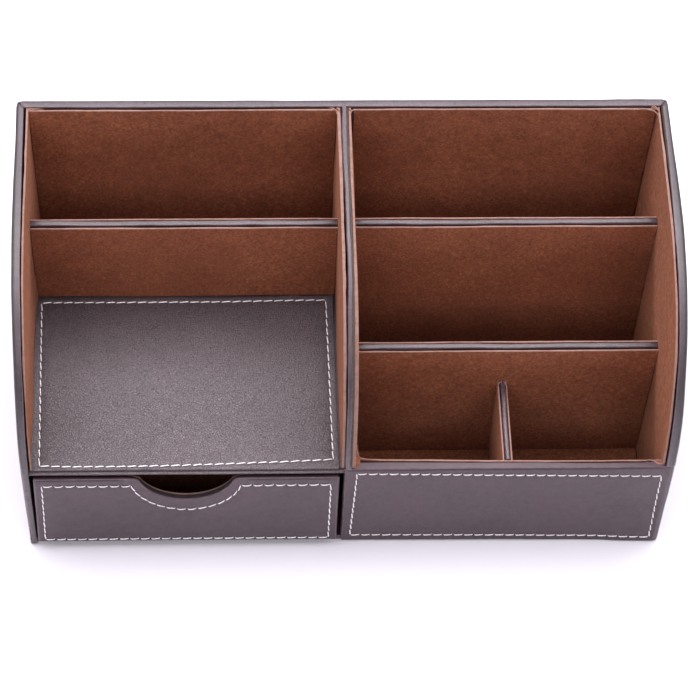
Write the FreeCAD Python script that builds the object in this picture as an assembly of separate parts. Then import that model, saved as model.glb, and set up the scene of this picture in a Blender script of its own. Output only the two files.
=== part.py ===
import FreeCAD, Part
import math
import os

# Desk organizer with memo deck and drawer: thin boards wrapped in leather-cloth,
# suede-lined pockets, one pull-out drawer. Millimetres, +Z up.
# Origin: centre of the overall footprint, on the surface it stands on.
# Front (drawer side) faces -Y. Left bay (-X) holds the drawer, right bay the pockets.

V = FreeCAD.Vector
os.makedirs("parts", exist_ok=True)

# ------------------------------------------------------------------ dimensions
W_TOP = 330.0        # outside width at the top of the side walls
D = 165.0            # carcass depth, front plane to back plane
H = 158.0            # height of the back and of the side walls
H_FRONT = 68.0       # height of the front panel, memo deck and pocket divider
LEAN = 0.02          # the side walls lean out by this slope (radians)
P_EXP, Q_EXP = 4.95, 1.63   # exponents of the side wall's curved front edge
DRAWER_PROUD = 2.0   # drawer front stands proud of the carcass

SKIN = 0.6           # leather-cloth thickness
BOARD = 2.8          # outer wall board
LINER = 1.8          # suede-faced lining card on the outer walls
LIP = 1.2            # a lining card stops this far below the rim beside it
TURN = 12.0          # width of the leather turned over a rim to the inside
WALL = BOARD + 2 * SKIN
LINED = WALL + LINER

CX = 0.7             # middle of the centre wall
C_BOARD = 2.6
C_LINER = 2.4
CL = CX - C_BOARD / 2 - SKIN      # left wrap plane of the centre wall
CR = CX + C_BOARD / 2 + SKIN      # right wrap plane
CLL = CL - C_LINER                # faces of its lining
CRL = CR + C_LINER

P_BOARD = 2.2        # partition board
P_LINER = 1.3
Y_REAR = 111.5       # middle of the rear partitions, from the front plane
Z_REAR = 126.0
Y_MID = 57.0         # middle of the front partition (right bay)
Z_MID = 94.0
X_POCKET = 80.4      # middle of the low divider between the two front pockets
K_BOARD = 1.4
K_LINER = 1.2

UNDER = 0.4          # underside of the turned-under leather
FELT = 1.0           # felt under the base
BASE = 2.4           # base board
Z_BASE0 = FELT
Z_BASE1 = FELT + BASE
FLOOR_LINER = 1.2
FLANGE = 10.0        # leather turned under the base

DECK_BOARD = 2.4     # board under the memo deck's leather
DECK = DECK_BOARD + 2 * SKIN

R_RIM = 1.4          # rounding of the padded leather rims
R_BOARD = 0.8

# drawer
DX0, DX1 = -157.2, -3.8          # drawer front, left and right
DZ0, DZ1 = 4.4, 63.2             # drawer front, bottom and top
D_BACK = 107.0                   # back of the drawer box
D_WALL = 3.0                     # wrapped drawer wall
D_WRAP = 0.5
D_BOTTOM = 2.0
D_TOP = 56.0                     # top of the drawer walls
NX, NZ, NR = -80.9, 70.0, 24.3   # thumb notch circle in the drawer front
NR_BOARD = NR + SKIN
NR_LINER = 26.4
THREAD = 0.8                     # width of a stitch line
THREAD_D = 0.3                   # its depth in the leather

YO = -(D - DRAWER_PROUD) / 2.0   # front plane of the carcass in the part's frame
TAN = math.tan(LEAN)
COS = math.cos(LEAN)


# ------------------------------------------------------------------ helpers
def box(x0, x1, y0, y1, z0, z1):
    return Part.makeBox(x1 - x0, y1 - y0, z1 - z0, V(x0, y0 + YO, z0))


def prism_xy(pts, z0, z1):
    w = Part.makePolygon([V(x, y + YO, z0) for x, y in pts] + [V(pts[0][0], pts[0][1] + YO, z0)])
    return Part.Face(w).extrude(V(0, 0, z1 - z0))


def between(inset):
    """Space between the two leaning side walls, inset from their outer faces."""
    def hx(z):
        return W_TOP / 2 - inset / COS - TAN * (H - z)
    z0, z1 = -30.0, H + 30.0
    pts = [V(-hx(z0), YO - 60, z0), V(hx(z0), YO - 60, z0), V(hx(z1), YO - 60, z1), V(-hx(z1), YO - 60, z1)]
    w = Part.makePolygon(pts + [pts[0]])
    return Part.Face(w).extrude(V(0, D + 120, 0))


def lean(shape, side):
    """Turn an upright right/left wall about its top outer edge."""
    s = shape.copy()
    s.rotate(V(side * W_TOP / 2, 0, H), V(0, 1, 0), side * math.degrees(LEAN))
    return s


def curve(d, n=17):
    """Curved front edge of the side walls, moved inwards by d: points from the
    flat top down to the front plane (y from the front plane, z)."""
    dense = []
    m = 600
    u0 = 0.12
    for i in range(m + 1):
        a = i / m
        t0 = math.asin(u0 ** (P_EXP / 2))
        t = t0 + (math.pi / 2 - t0) * (a ** 2 * (3 - 2 * a) * 0.5 + a * 0.5)
        u = math.sin(t) ** (2 / P_EXP)
        v = max(math.cos(t), 0.0) ** (2 / Q_EXP)
        # gradient of u^p + v^q gives the outward normal
        gy = -(u ** (P_EXP - 1)) * P_EXP / D
        gz = (v ** (Q_EXP - 1)) * Q_EXP / (H - H_FRONT) if v > 0 else 0.0
        g = math.hypot(gy, gz)
        y = D * (1 - u)
        z = H_FRONT + (H - H_FRONT) * v
        dense.append((y - d * gy / g, z - d * gz / g))
    # even spacing along the curve
    s = [0.0]
    for a, b in zip(dense, dense[1:]):
        s.append(s[-1] + math.hypot(b[0] - a[0], b[1] - a[1]))
    out = []
    j = 0
    for i in range(n):
        q = s[-1] * i / (n - 1)
        while j < len(s) - 2 and s[j + 1] < q:
            j += 1
        f = (q - s[j]) / max(s[j + 1] - s[j], 1e-9)
        out.append((dense[j][0] + f * (dense[j + 1][0] - dense[j][0]),
                    dense[j][1] + f * (dense[j + 1][1] - dense[j][1])))
    out[0] = (out[0][0], H - d)
    out[-1] = (d, H_FRONT)
    return out


def wall(x0, x1, d, yb, zb, zf=None):
    """Slab with the side wall's profile between x0 and x1; zf stops the
    vertical front edge above the bottom."""
    pts = [V(x0, y + YO, z) for y, z in curve(d)]
    sp = Part.BSplineCurve()
    sp.interpolate(Points=pts, InitialTangent=V(0, -1, 0), FinalTangent=V(0, 0, -1))
    top = Part.LineSegment(V(x0, yb + YO, H - d), pts[0]).toShape()
    front = Part.LineSegment(pts[-1], V(x0, d + YO, zb)).toShape()
    bottom = Part.LineSegment(V(x0, d + YO, zb), V(x0, yb + YO, zb)).toShape()
    back = Part.LineSegment(V(x0, yb + YO, zb), V(x0, yb + YO, H - d)).toShape()
    w = Part.Wire([top, sp.toShape(), front, bottom, back])
    return Part.Face(w).extrude(V(x1 - x0, 0, 0))


def round_rim(shape, r, yb, zb):
    """Round the long edges of a profiled wall's rim."""
    es = []
    for e in shape.Edges:
        c = e.CenterOfMass
        y = c.y - YO
        bb = e.BoundBox
        if bb.XLength > 0.01:
            continue
        if abs(y - yb) < 0.05 and bb.YLength < 0.01:
            continue
        if abs(c.z - zb) < 0.05 and bb.ZLength < 0.01:
            continue
        es.append(e)
    return shape.makeFillet(r, es)


def edges_at(shape, test):
    return [e for e in shape.Edges if test(e.BoundBox, e.CenterOfMass)]


def round_top(shape, r, axis, ztop, extra=None):
    """Round the two long top edges of a straight board lying along an axis."""
    def t(bb, c):
        long_x = bb.XLength > 4 and bb.YLength < 0.01
        long_y = bb.YLength > 4 and bb.XLength < 0.01
        ok = abs(c.z - ztop) < 0.01 and bb.ZLength < 0.01
        return ok and (long_x if axis == "x" else long_y)
    es = edges_at(shape, t)
    if extra:
        es += edges_at(shape, extra)
    return shape.makeFillet(r, es)


def clean(shape):
    s = shape.removeSplitter()
    if s.ShapeType == "Compound" and len(s.Solids) == 1:
        s = s.Solids[0]
    return s


parts = {}


def put(name, shape):
    parts[name] = clean(shape)


IN_SKIN = between(SKIN)
IN_BOARD = between(SKIN + BOARD)
IN_WRAP = between(WALL)
IN_LINED = between(LINED)
OUTER = between(0.0)
ABOVE = box(-400, 400, -200, 400, Z_BASE1, 400)
ABOVE_BASE0 = box(-400, 400, -200, 400, Z_BASE0, 400)


def mitre(side, corner):
    """The side wall's share of a corner joint, split at 45 degrees in plan."""
    e = 200.0
    x = side * W_TOP / 2
    if corner == "back":
        pts = [(x + side * 1, D + 1), (x - side * e, D - e), (x + side * e, D - e)]
        pts[0] = (x + side * e, D + e)
    else:
        pts = [(x + side * e, -e), (x - side * e, e), (x + side * e, e)]
    return lean(prism_xy(pts, -60, 320), side)


# ------------------------------------------------------------------ boards of the carcass
HW = W_TOP / 2


def side_slab(side, xa, xb, d, yb, zb=-12.0):
    """Profiled slab whose faces are xa and xb inside the wall's outer face."""
    x0, x1 = sorted((side * (HW - xa), side * (HW - xb)))
    return wall(x0, x1, d, yb, zb)


side_boards = {}
for name, side in (("left", -1), ("right", 1)):
    s = side_slab(side, SKIN, SKIN + BOARD, SKIN, D - SKIN)
    s = round_rim(s, R_BOARD, D - SKIN, -12.0)
    s = lean(s, side).common(ABOVE)
    side_boards[name] = s
    put(name + "_side_board", s)

back_board = box(-200, 200, D - SKIN - BOARD, D - SKIN, Z_BASE1, H - SKIN)
back_board = round_top(back_board, R_BOARD, "x", H - SKIN).common(IN_BOARD)
put("back_board", back_board)

base_board = box(-200, 200, SKIN, D - SKIN, Z_BASE0, Z_BASE1).common(IN_SKIN)
put("base_board", base_board)

centre_board = wall(CL + SKIN, CR - SKIN, SKIN, D - WALL, Z_BASE1)
centre_board = round_rim(centre_board, R_BOARD, D - WALL, Z_BASE1)
put("centre_board", centre_board)

front_board = box(CR - SKIN, 200, SKIN, SKIN + BOARD, Z_BASE1, H_FRONT - SKIN)
front_board = round_top(front_board, R_BOARD, "x", H_FRONT - SKIN).common(IN_BOARD)
put("front_board", front_board)

# ------------------------------------------------------------------ leather covers of the outer walls
all_boards = [side_boards["left"], side_boards["right"], back_board, base_board, centre_board, front_board]


def minus(shape, tools):
    for t in tools:
        shape = shape.cut(t)
    return shape


def flange(pts):
    """Leather turned under the base board."""
    return prism_xy(pts, UNDER, Z_BASE0).common(OUTER)


XO = HW - TAN * (H - 0.7)
side_covers = {}
for name, side in (("left", -1), ("right", 1)):
    o = round_rim(side_slab(side, 0.0, WALL, 0.0, D), R_RIM, D, -12.0)
    # the inner turn-in only follows the rim
    core = side_slab(side, SKIN + BOARD, WALL + 1.0, TURN, D + 5.0, -30.0)
    o = lean(o.cut(core), side).common(ABOVE_BASE0)
    o = minus(o, all_boards)
    o = o.common(mitre(side, "back"))
    if side > 0:
        low = o.common(box(-400, 400, -60, 400, -60, H_FRONT)).common(mitre(side, "front"))
        high = o.common(box(-400, 400, -60, 400, H_FRONT, 400))
        o = low.fuse(high)
    x = side * XO
    f = flange([(x + side * 5, -5), (x + side * 5, D + 5), (x - side * FLANGE, D - FLANGE), (x - side * FLANGE, FLANGE)])
    o = o.fuse(f)
    side_covers[name] = o
    put(name + "_side_cover", o)

o = round_top(box(-200, 200, D - WALL, D, Z_BASE0, H), R_RIM, "x", H).common(OUTER)
o = o.cut(box(-200, 200, D - WALL - 1, D - SKIN - BOARD, Z_BASE0 - 1, H - TURN))
o = minus(o, all_boards).cut(mitre(-1, "back")).cut(mitre(1, "back"))
o = o.fuse(flange([(-XO - 5, D + 5), (XO + 5, D + 5), (XO - FLANGE, D - FLANGE), (-XO + FLANGE, D - FLANGE)]).common(box(-400, 400, 0, D, -5, 5)))
back_cover = o
put("back_cover", o)

# front panel leather: over the front board, the centre wall's front edge and round its left face
o = box(CL, 200, 0, WALL, Z_BASE0, H_FRONT).common(OUTER)


def front_extra(bb, c):
    upright = bb.ZLength > 30
    return upright and abs(c.y - YO) < 0.05


o = round_top(o, R_RIM, "x", H_FRONT, front_extra)
o = o.cut(box(CL + SKIN, 200, SKIN + BOARD, WALL + 1, Z_BASE0 - 1, H_FRONT - TURN))
o = minus(o, all_boards).cut(mitre(1, "front"))
turn_left = box(CL, CL + SKIN, WALL, TURN, Z_BASE1, H_FRONT)
o = o.fuse(turn_left)
o = o.fuse(flange([(CL, 0), (XO + 5, -5), (XO - FLANGE, FLANGE), (CL, FLANGE)]).common(box(-400, 400, 0, D, -5, 5)))
o = o.cut(box(CR - SKIN, CR, SKIN + BOARD, WALL + 1, Z_BASE0, H_FRONT))
front_thread = box(5.0 - THREAD / 2, 158.0 + THREAD / 2, 0, THREAD_D, 5.6 - THREAD / 2, 62.4 + THREAD / 2).cut(
    box(5.0 + THREAD / 2, 158.0 - THREAD / 2, -1, THREAD_D + 1, 5.6 + THREAD / 2, 62.4 - THREAD / 2))
put("front_panel_cover", o.cut(front_thread))
put("front_panel_stitching", front_thread)

# leather strip over the base board's front edge, under the drawer
sill = box(-200, CL, 0, SKIN, Z_BASE0, Z_BASE1 + SKIN).fuse(box(-200, CL, 0, TURN, Z_BASE1, Z_BASE1 + SKIN))
sill = sill.common(IN_WRAP).cut(base_board)
sill = sill.fuse(flange([(-XO - 5, -5), (CL, -5), (CL, FLANGE), (-XO + FLANGE, FLANGE)]).common(box(-400, 400, 0, D, -5, 5)))
sill = minus(sill, [side_covers["left"]])
put("drawer_sill_cover", sill)

# leather binding on the rim of the centre wall
o = round_rim(wall(CL, CR, 0.0, D - WALL, H_FRONT - 30), R_RIM, D - WALL, H_FRONT - 30)
o = o.cut(wall(CL - 1, CL + SKIN, TURN, D + 5, H_FRONT - 60)).cut(wall(CR - SKIN, CR + 1, TURN, D + 5, H_FRONT - 60))
o = minus(o, all_boards).common(box(-400, 400, -60, 400, H_FRONT, 400))
put("centre_wall_binding", o)

# ------------------------------------------------------------------ lining cards of the walls
def side_liner(side, lined_below):
    s = side_slab(side, WALL, LINED, LIP, D - WALL)
    s = lean(s, side)
    return s


def keep_right(s):
    """Right bay: full height behind the front panel, above it in line with its rim."""
    a = s.common(box(-400, 400, WALL, D, Z_BASE1, H_FRONT))
    b = s.common(box(-400, 400, -10, D, H_FRONT, 400))
    return a.fuse(b)


def keep_left(s):
    """Left bay: above the memo deck, and full height in the rear slot."""
    a = s.common(box(-400, 400, Y_REAR - P_BOARD / 2, D, Z_BASE1, H_FRONT))
    b = s.common(box(-400, 400, -10, D, H_FRONT, 400))
    return a.fuse(b)


put("right_side_liner", keep_right(side_liner(1, True)))
put("left_side_liner", keep_left(side_liner(-1, False)))
put("centre_wall_liner_right", keep_right(wall(CR, CRL, LIP, D - WALL, -10)))
put("centre_wall_liner_left", keep_left(wall(CLL, CL, LIP, D - WALL, -10)))

YB0 = D - LINED       # face of the back lining
put("back_liner_left", box(-200, CLL, YB0, D - WALL, Z_BASE1, H - LIP).common(IN_LINED))
put("back_liner_right", box(CRL, 200, YB0, D - WALL, Z_BASE1, H - LIP).common(IN_LINED))
put("front_panel_liner", box(CRL, 200, WALL, LINED, Z_BASE1, H_FRONT - LIP).common(IN_LINED))


# ------------------------------------------------------------------ partitions across the bays
def partition(prefix, x0, x1, y, ztop, board, liner, z_front_liner, z_rear_liner, names):
    hb = board / 2
    hw = hb + SKIN
    b = box(x0, x1, y - hb, y + hb, Z_BASE1, ztop - SKIN)
    b = round_top(b, min(R_BOARD, hb * 0.6), "x", ztop - SKIN).common(IN_LINED)
    put(names[0], b)
    c = round_top(box(x0, x1, y - hw, y + hw, ztop - TURN, ztop), min(R_RIM, hw * 0.7), "x", ztop).common(IN_LINED)
    put(names[1], c.cut(b))
    put(names[2], box(x0, x1, y - hw - liner, y - hw, z_front_liner, ztop - LIP).common(IN_LINED))
    put(names[3], box(x0, x1, y + hw, y + hw + liner, z_rear_liner, ztop - LIP).common(IN_LINED))
    return y - hw - liner, y + hw + liner


yl0, yl1 = partition("rl", -200, CLL, Y_REAR, Z_REAR, P_BOARD, P_LINER, H_FRONT, Z_BASE1,
                     ["rear_partition_left_board", "rear_partition_left_binding",
                      "rear_partition_left_front_liner", "rear_partition_left_rear_liner"])
yr0, yr1 = partition("rr", CRL, 200, Y_REAR, Z_REAR, P_BOARD, P_LINER, Z_BASE1, Z_BASE1,
                     ["rear_partition_right_board", "rear_partition_right_binding",
                      "rear_partition_right_front_liner", "rear_partition_right_rear_liner"])
ym0, ym1 = partition("fm", CRL, 200, Y_MID, Z_MID, P_BOARD, P_LINER, Z_BASE1, Z_BASE1,
                     ["front_partition_board", "front_partition_binding",
                      "front_partition_front_liner", "front_partition_rear_liner"])

# low divider between the two front pockets
kb = K_BOARD / 2
kw = kb + SKIN
b = box(X_POCKET - kb, X_POCKET + kb, LINED, ym0, Z_BASE1, H_FRONT - SKIN)
b = round_top(b, 0.4, "y", H_FRONT - SKIN)
put("pocket_divider_board", b)
c = round_top(box(X_POCKET - kw, X_POCKET + kw, LINED, ym0, H_FRONT - TURN, H_FRONT), 0.9, "y", H_FRONT)
put("pocket_divider_binding", c.cut(b))
put("pocket_divider_liner_left", box(X_POCKET - kw - K_LINER, X_POCKET - kw, LINED, ym0, Z_BASE1, H_FRONT - LIP))
put("pocket_divider_liner_right", box(X_POCKET + kw, X_POCKET + kw + K_LINER, LINED, ym0, Z_BASE1, H_FRONT - LIP))
kl = X_POCKET - kw - K_LINER
kr = X_POCKET + kw + K_LINER

# ------------------------------------------------------------------ floor lining of each pocket
ZF = Z_BASE1 + FLOOR_LINER
put("floor_liner_left_rear", box(-200, CLL, yl1, YB0, Z_BASE1, ZF).common(IN_LINED))
put("floor_liner_right_rear", box(CRL, 200, yr1, YB0, Z_BASE1, ZF).common(IN_LINED))
put("floor_liner_right_middle", box(CRL, 200, ym1, yr0, Z_BASE1, ZF).common(IN_LINED))
put("floor_liner_pocket_left", box(CRL, kl, LINED, ym0, Z_BASE1, ZF))
put("floor_liner_pocket_right", box(kr, 200, LINED, ym0, Z_BASE1, ZF).common(IN_LINED))

# ------------------------------------------------------------------ memo deck over the drawer
y_deck = Y_REAR - P_BOARD / 2
db = box(-200, CL, SKIN, y_deck, H_FRONT - DECK + SKIN, H_FRONT - SKIN).common(IN_WRAP)
put("memo_deck_board", db)
dc = box(-200, CL, 0, y_deck, H_FRONT - DECK, H_FRONT)
dc = dc.makeFillet(0.9, edges_at(dc, lambda bb, c: abs(c.y - YO) < 0.01 and bb.XLength > 50))
dc = dc.common(IN_WRAP)
dc = dc.cut(box(-400, 400, 15.0, 400, H_FRONT - DECK - 1, H_FRONT - DECK + SKIN)).cut(db)
MX0, MX1, MY0, MY1 = -154.4, -7.4, 5.2, 105.2
deck_thread = box(MX0 - THREAD / 2, MX1 + THREAD / 2, MY0 - THREAD / 2, MY1 + THREAD / 2, H_FRONT - THREAD_D, H_FRONT).cut(
    box(MX0 + THREAD / 2, MX1 - THREAD / 2, MY0 + THREAD / 2, MY1 - THREAD / 2, H_FRONT - 1, H_FRONT + 1))
put("memo_deck_cover", dc.cut(deck_thread).cut(side_covers["left"]))
put("memo_deck_stitching", deck_thread)

# ------------------------------------------------------------------ felt under the base
put("base_felt", box(-XO + FLANGE + 0.5, XO - FLANGE - 0.5, FLANGE + 0.5, D - FLANGE - 0.5, 0, FELT))


# ------------------------------------------------------------------ drawer
def cyl_y(x, z, r, y0, y1):
    return Part.makeCylinder(r, y1 - y0, V(x, y0 + YO, z), V(0, 1, 0))


def notched(x0, x1, y0, y1, z0, z1, r, soft):
    s = box(x0, x1, y0, y1, z0, z1).cut(cyl_y(NX, NZ, r, y0 - 1, y1 + 1))
    half = math.sqrt(r * r - (NZ - z1) ** 2)
    es = edges_at(s, lambda bb, c: bb.YLength > 0.5 and bb.XLength < 0.01 and bb.ZLength < 0.01
                  and abs(c.z - z1) < 0.01 and abs(abs(c.x - NX) - half) < 0.01)
    if soft > 0:
        s = s.makeFillet(soft, es)
    return s


fy0, fy1 = -DRAWER_PROUD, -DRAWER_PROUD + WALL
fb = notched(DX0 + SKIN, DX1 - SKIN, fy0 + SKIN, fy1 - SKIN, DZ0 + SKIN, DZ1 - SKIN, NR_BOARD, 3.4)
put("drawer_front_board", fb)
fc = notched(DX0, DX1, fy0, fy1, DZ0, DZ1, NR, 4.0)
front_edges = edges_at(fc, lambda bb, c: abs(c.y - (fy0 + YO)) < 0.01 and bb.YLength < 0.01)
fc = fc.makeFillet(0.9, front_edges)
inner = box(DX0 + TURN, DX1 - TURN, fy1 - SKIN, fy1 + 1, DZ0 + TURN, DZ1 - TURN).cut(cyl_y(NX, NZ, NR + TURN, -10, 20))
fc = fc.cut(inner).cut(fb)
TX0, TX1, TZ0, TZ1 = -153.2, -8.2, 8.0, 57.2
TNZ, TNR = 64.4, 28.2


def thread_area(g):
    s = box(TX0 - g, TX1 + g, fy0, fy0 + THREAD_D, TZ0 - g, TZ1 + g)
    return s.cut(cyl_y(NX, TNZ, TNR - g, fy0 - 1, fy0 + 2))


drawer_thread = thread_area(THREAD / 2).cut(thread_area(-THREAD / 2))
put("drawer_front_cover", fc.cut(drawer_thread))
put("drawer_front_stitching", drawer_thread)

bx0, bx1 = DX0 + 0.4, DX1 - 0.4      # drawer box
zb1 = DZ0 + D_BOTTOM
fl1 = fy1 + P_LINER                  # rear face of the drawer front's lining
put("drawer_bottom_board", box(bx0, bx1, fy1, D_BACK, DZ0, zb1))
put("drawer_front_liner", notched(bx0, bx1, fy1, fl1, zb1, DZ1 - LIP, NR_LINER, 3.0))


def drawer_wall(name, x0, x1, y0, y1, axis):
    if axis == "y":
        b = box(x0 + D_WRAP, x1 - D_WRAP, y0, y1, zb1, D_TOP - D_WRAP)
    else:
        b = box(x0, x1, y0 + D_WRAP, y1 - D_WRAP, zb1, D_TOP - D_WRAP)
    w = round_top(box(x0, x1, y0, y1, zb1, D_TOP), 1.0, axis, D_TOP).cut(b)
    put(name + "_board", b)
    put(name + "_wrap", w)


yb = D_BACK - D_WALL
drawer_wall("drawer_left", bx0, bx0 + D_WALL, fl1, yb, "y")
drawer_wall("drawer_right", bx1 - D_WALL, bx1, fl1, yb, "y")
drawer_wall("drawer_back", bx0, bx1, yb, D_BACK, "x")
put("drawer_floor_liner", box(bx0 + D_WALL, bx1 - D_WALL, fl1, yb, zb1, zb1 + 1.0))

# ------------------------------------------------------------------ write the pieces
for name in sorted(parts):
    s = parts[name]
    s.exportStep("parts/" + name + ".step")
    bb = s.BoundBox
    print("%-36s %s solids %d valid %s vol %.1f  x %.2f..%.2f y %.2f..%.2f z %.2f..%.2f" % (
        name, s.ShapeType, len(s.Solids), s.isValid(), s.Volume, bb.XMin, bb.XMax, bb.YMin, bb.YMax, bb.ZMin, bb.ZMax))
print(len(parts), "pieces")
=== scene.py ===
import math

import bmesh
import bpy
import numpy as np
from mathutils import Matrix, Vector
from mathutils.geometry import delaunay_2d_cdt


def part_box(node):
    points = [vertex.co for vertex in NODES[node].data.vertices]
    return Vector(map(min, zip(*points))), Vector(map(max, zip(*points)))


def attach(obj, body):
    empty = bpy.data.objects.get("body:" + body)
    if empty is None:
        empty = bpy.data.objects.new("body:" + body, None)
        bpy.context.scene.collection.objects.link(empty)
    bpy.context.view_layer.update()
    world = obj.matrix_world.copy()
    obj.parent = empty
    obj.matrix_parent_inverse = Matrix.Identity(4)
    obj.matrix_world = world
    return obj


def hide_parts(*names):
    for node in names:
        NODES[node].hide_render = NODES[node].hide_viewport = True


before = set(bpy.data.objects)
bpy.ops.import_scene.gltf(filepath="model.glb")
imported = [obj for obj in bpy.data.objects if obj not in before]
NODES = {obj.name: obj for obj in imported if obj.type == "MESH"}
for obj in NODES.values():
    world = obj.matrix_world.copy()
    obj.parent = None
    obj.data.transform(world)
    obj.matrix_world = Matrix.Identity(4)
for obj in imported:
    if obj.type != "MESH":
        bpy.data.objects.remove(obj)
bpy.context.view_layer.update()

# ---------------------------------------------------------------- dimensions, mm
# Y runs back from the carcass front plane; the frame's y is Y + YO.
YO = -81.5
D, H, HF = 165.0, 158.0, 68.0
HW = 165.0
LEAN = 0.02
WALL, LINED, LIP = 4.0, 5.8, 1.2
CL, CR = -1.2, 2.6
CLL, CRL = -3.6, 5.0
P_EXP, Q_EXP = 4.95, 1.63
ST, CT = math.sin(LEAN), math.cos(LEAN)
PITCH = 5.45


# ---------------------------------------------------------------- small maths
def sstep(x, a=0.0, b=1.0):
    t = np.clip((np.asarray(x, float) - a) / (b - a), 0.0, 1.0)
    return t * t * (3 - 2 * t)


def _hash(ix, iy, iz, seed):
    h = (ix * 73856093) ^ (iy * 19349663) ^ (iz * 83492791) ^ (seed * 40503 + 977)
    h = h & 0xFFFFFFFF
    h = ((h ^ (h >> 15)) * 0x2C1B3C6D) & 0xFFFFFFFF
    h = ((h ^ (h >> 12)) * 0x297A2D39) & 0xFFFFFFFF
    h = h ^ (h >> 15)
    return h / 4294967295.0 * 2 - 1


def noise3(x, y, z, scale, seed):
    """Smooth value noise in -1..1; lengths in mm."""
    x, y, z = np.broadcast_arrays(np.asarray(x, float), np.asarray(y, float), np.asarray(z, float))
    q = np.stack([x, y, z], -1) / scale
    i = np.floor(q).astype(np.int64)
    f = q - i
    f = f * f * f * (f * (f * 6 - 15) + 10)
    out = 0.0
    for a in (0, 1):
        for b in (0, 1):
            for c in (0, 1):
                w = (f[..., 0] if a else 1 - f[..., 0]) * (f[..., 1] if b else 1 - f[..., 1]) * (f[..., 2] if c else 1 - f[..., 2])
                out = out + w * _hash(i[..., 0] + a, i[..., 1] + b, i[..., 2] + c, seed)
    return out


def bump(d, width):
    return np.exp(-(np.asarray(d) / width) ** 2)


# ---------------------------------------------------------------- outlines
def curve(d, step=2.0):
    """Curved edge of the upright walls, moved inwards by d, from the flat top at
    the back to the front plane: points (Y, z) about step apart."""
    t0 = math.asin(0.12 ** (P_EXP / 2))
    t = np.linspace(t0, math.pi / 2, 3000)
    u = np.sin(t) ** (2 / P_EXP)
    v = np.clip(np.cos(t), 0, None) ** (2 / Q_EXP)
    gy = -(u ** (P_EXP - 1)) * P_EXP / D
    gz = np.where(v > 0, (np.clip(v, 1e-12, None) ** (Q_EXP - 1)) * Q_EXP / (H - HF), 0.0)
    g = np.hypot(gy, gz)
    y = D * (1 - u) - d * gy / g
    z = HF + (H - HF) * v - d * gz / g
    s = np.concatenate([[0], np.cumsum(np.hypot(np.diff(y), np.diff(z)))])
    n = max(8, int(round(s[-1] / step)))
    q = np.linspace(0, s[-1], n + 1)
    p = np.stack([np.interp(q, s, y), np.interp(q, s, z)], 1)
    p[0, 1] = H - d
    p[-1] = (d, HF)
    return p


def line(a, b, step=4.0, dense=()):
    """Points from a up to but not including b. dense holds extra distances from a
    (positive) or from b (negative)."""
    a, b = np.asarray(a, float), np.asarray(b, float)
    length = float(np.hypot(*(b - a)))
    if length < 1e-6:
        return np.zeros((0, 2))
    n = max(1, int(round(length / step)))
    s = list(np.linspace(0, length, n + 1)[:-1])
    extra = sorted(x if x >= 0 else length + x for x in dense)
    if extra:
        s = [x for x in s if all(abs(x - e) > 0.45 * min(step, 1.2) for e in extra)] + [e for e in extra if 0 < e < length]
        if 0.0 not in s:
            s.append(0.0)
    s = np.array(sorted(set(round(x, 5) for x in s)))
    return a + (b - a) * (s / length)[:, None]


def arc(cx, cy, r, a0, a1, n):
    """n points on an arc, degrees, without the last one."""
    a = np.radians(np.linspace(a0, a1, n + 1)[:-1])
    return np.stack([cx + r * np.cos(a), cy + r * np.sin(a)], 1)


def rect(x0, x1, y0, y1, r=0.0, step=4.0, k=4, dense=()):
    """Counter-clockwise rectangle, corners rounded by r."""
    if r <= 0:
        return np.concatenate([line((x0, y0), (x1, y0), step, dense), line((x1, y0), (x1, y1), step, dense),
                               line((x1, y1), (x0, y1), step, dense), line((x0, y1), (x0, y0), step, dense)])
    return np.concatenate([
        line((x0 + r, y0), (x1 - r, y0), step, dense), arc(x1 - r, y0 + r, r, -90, 0, k),
        line((x1, y0 + r), (x1, y1 - r), step, dense), arc(x1 - r, y1 - r, r, 0, 90, k),
        line((x1 - r, y1), (x0 + r, y1), step, dense), arc(x0 + r, y1 - r, r, 90, 180, k),
        line((x0, y1 - r), (x0, y0 + r), step, dense), arc(x0 + r, y0 + r, r, 180, 270, k)])


def offset(loop, d):
    """Closed counter-clockwise loop moved inwards by d (a number or one per point)."""
    d = np.broadcast_to(np.asarray(d, float), (len(loop),))
    e0 = loop - np.roll(loop, 1, 0)
    e1 = np.roll(loop, -1, 0) - loop
    e0 = e0 / np.maximum(np.hypot(e0[:, 0], e0[:, 1]), 1e-9)[:, None]
    e1 = e1 / np.maximum(np.hypot(e1[:, 0], e1[:, 1]), 1e-9)[:, None]
    n0 = np.stack([-e0[:, 1], e0[:, 0]], 1)
    n1 = np.stack([-e1[:, 1], e1[:, 0]], 1)
    k = 1 + (n0 * n1).sum(1)
    return loop + (n0 + n1) / np.maximum(k, 0.35)[:, None] * d[:, None]


def inside(pts, loop):
    x, y = pts[:, 0][:, None], pts[:, 1][:, None]
    x0, y0 = loop[:, 0][None], loop[:, 1][None]
    x1, y1 = np.roll(loop[:, 0], -1)[None], np.roll(loop[:, 1], -1)[None]
    c = ((y0 > y) != (y1 > y)) & (x < (x1 - x0) * (y - y0) / np.where(y1 == y0, 1e-12, y1 - y0) + x0)
    return c.sum(1) % 2 == 1


def seg_dist(pts, a, b):
    """Least distance from each point to the segments a[i]-b[i]."""
    out = np.full(len(pts), 1e9)
    for i in range(0, len(a), 64):
        aa, bb = a[i:i + 64][None], b[i:i + 64][None]
        ab = bb - aa
        t = np.clip(((pts[:, None] - aa) * ab).sum(2) / np.maximum((ab ** 2).sum(2), 1e-12), 0, 1)
        dd = np.hypot(*np.moveaxis(pts[:, None] - (aa + ab * t[..., None]), 2, 0))
        out = np.minimum(out, dd.min(1))
    return out


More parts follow.
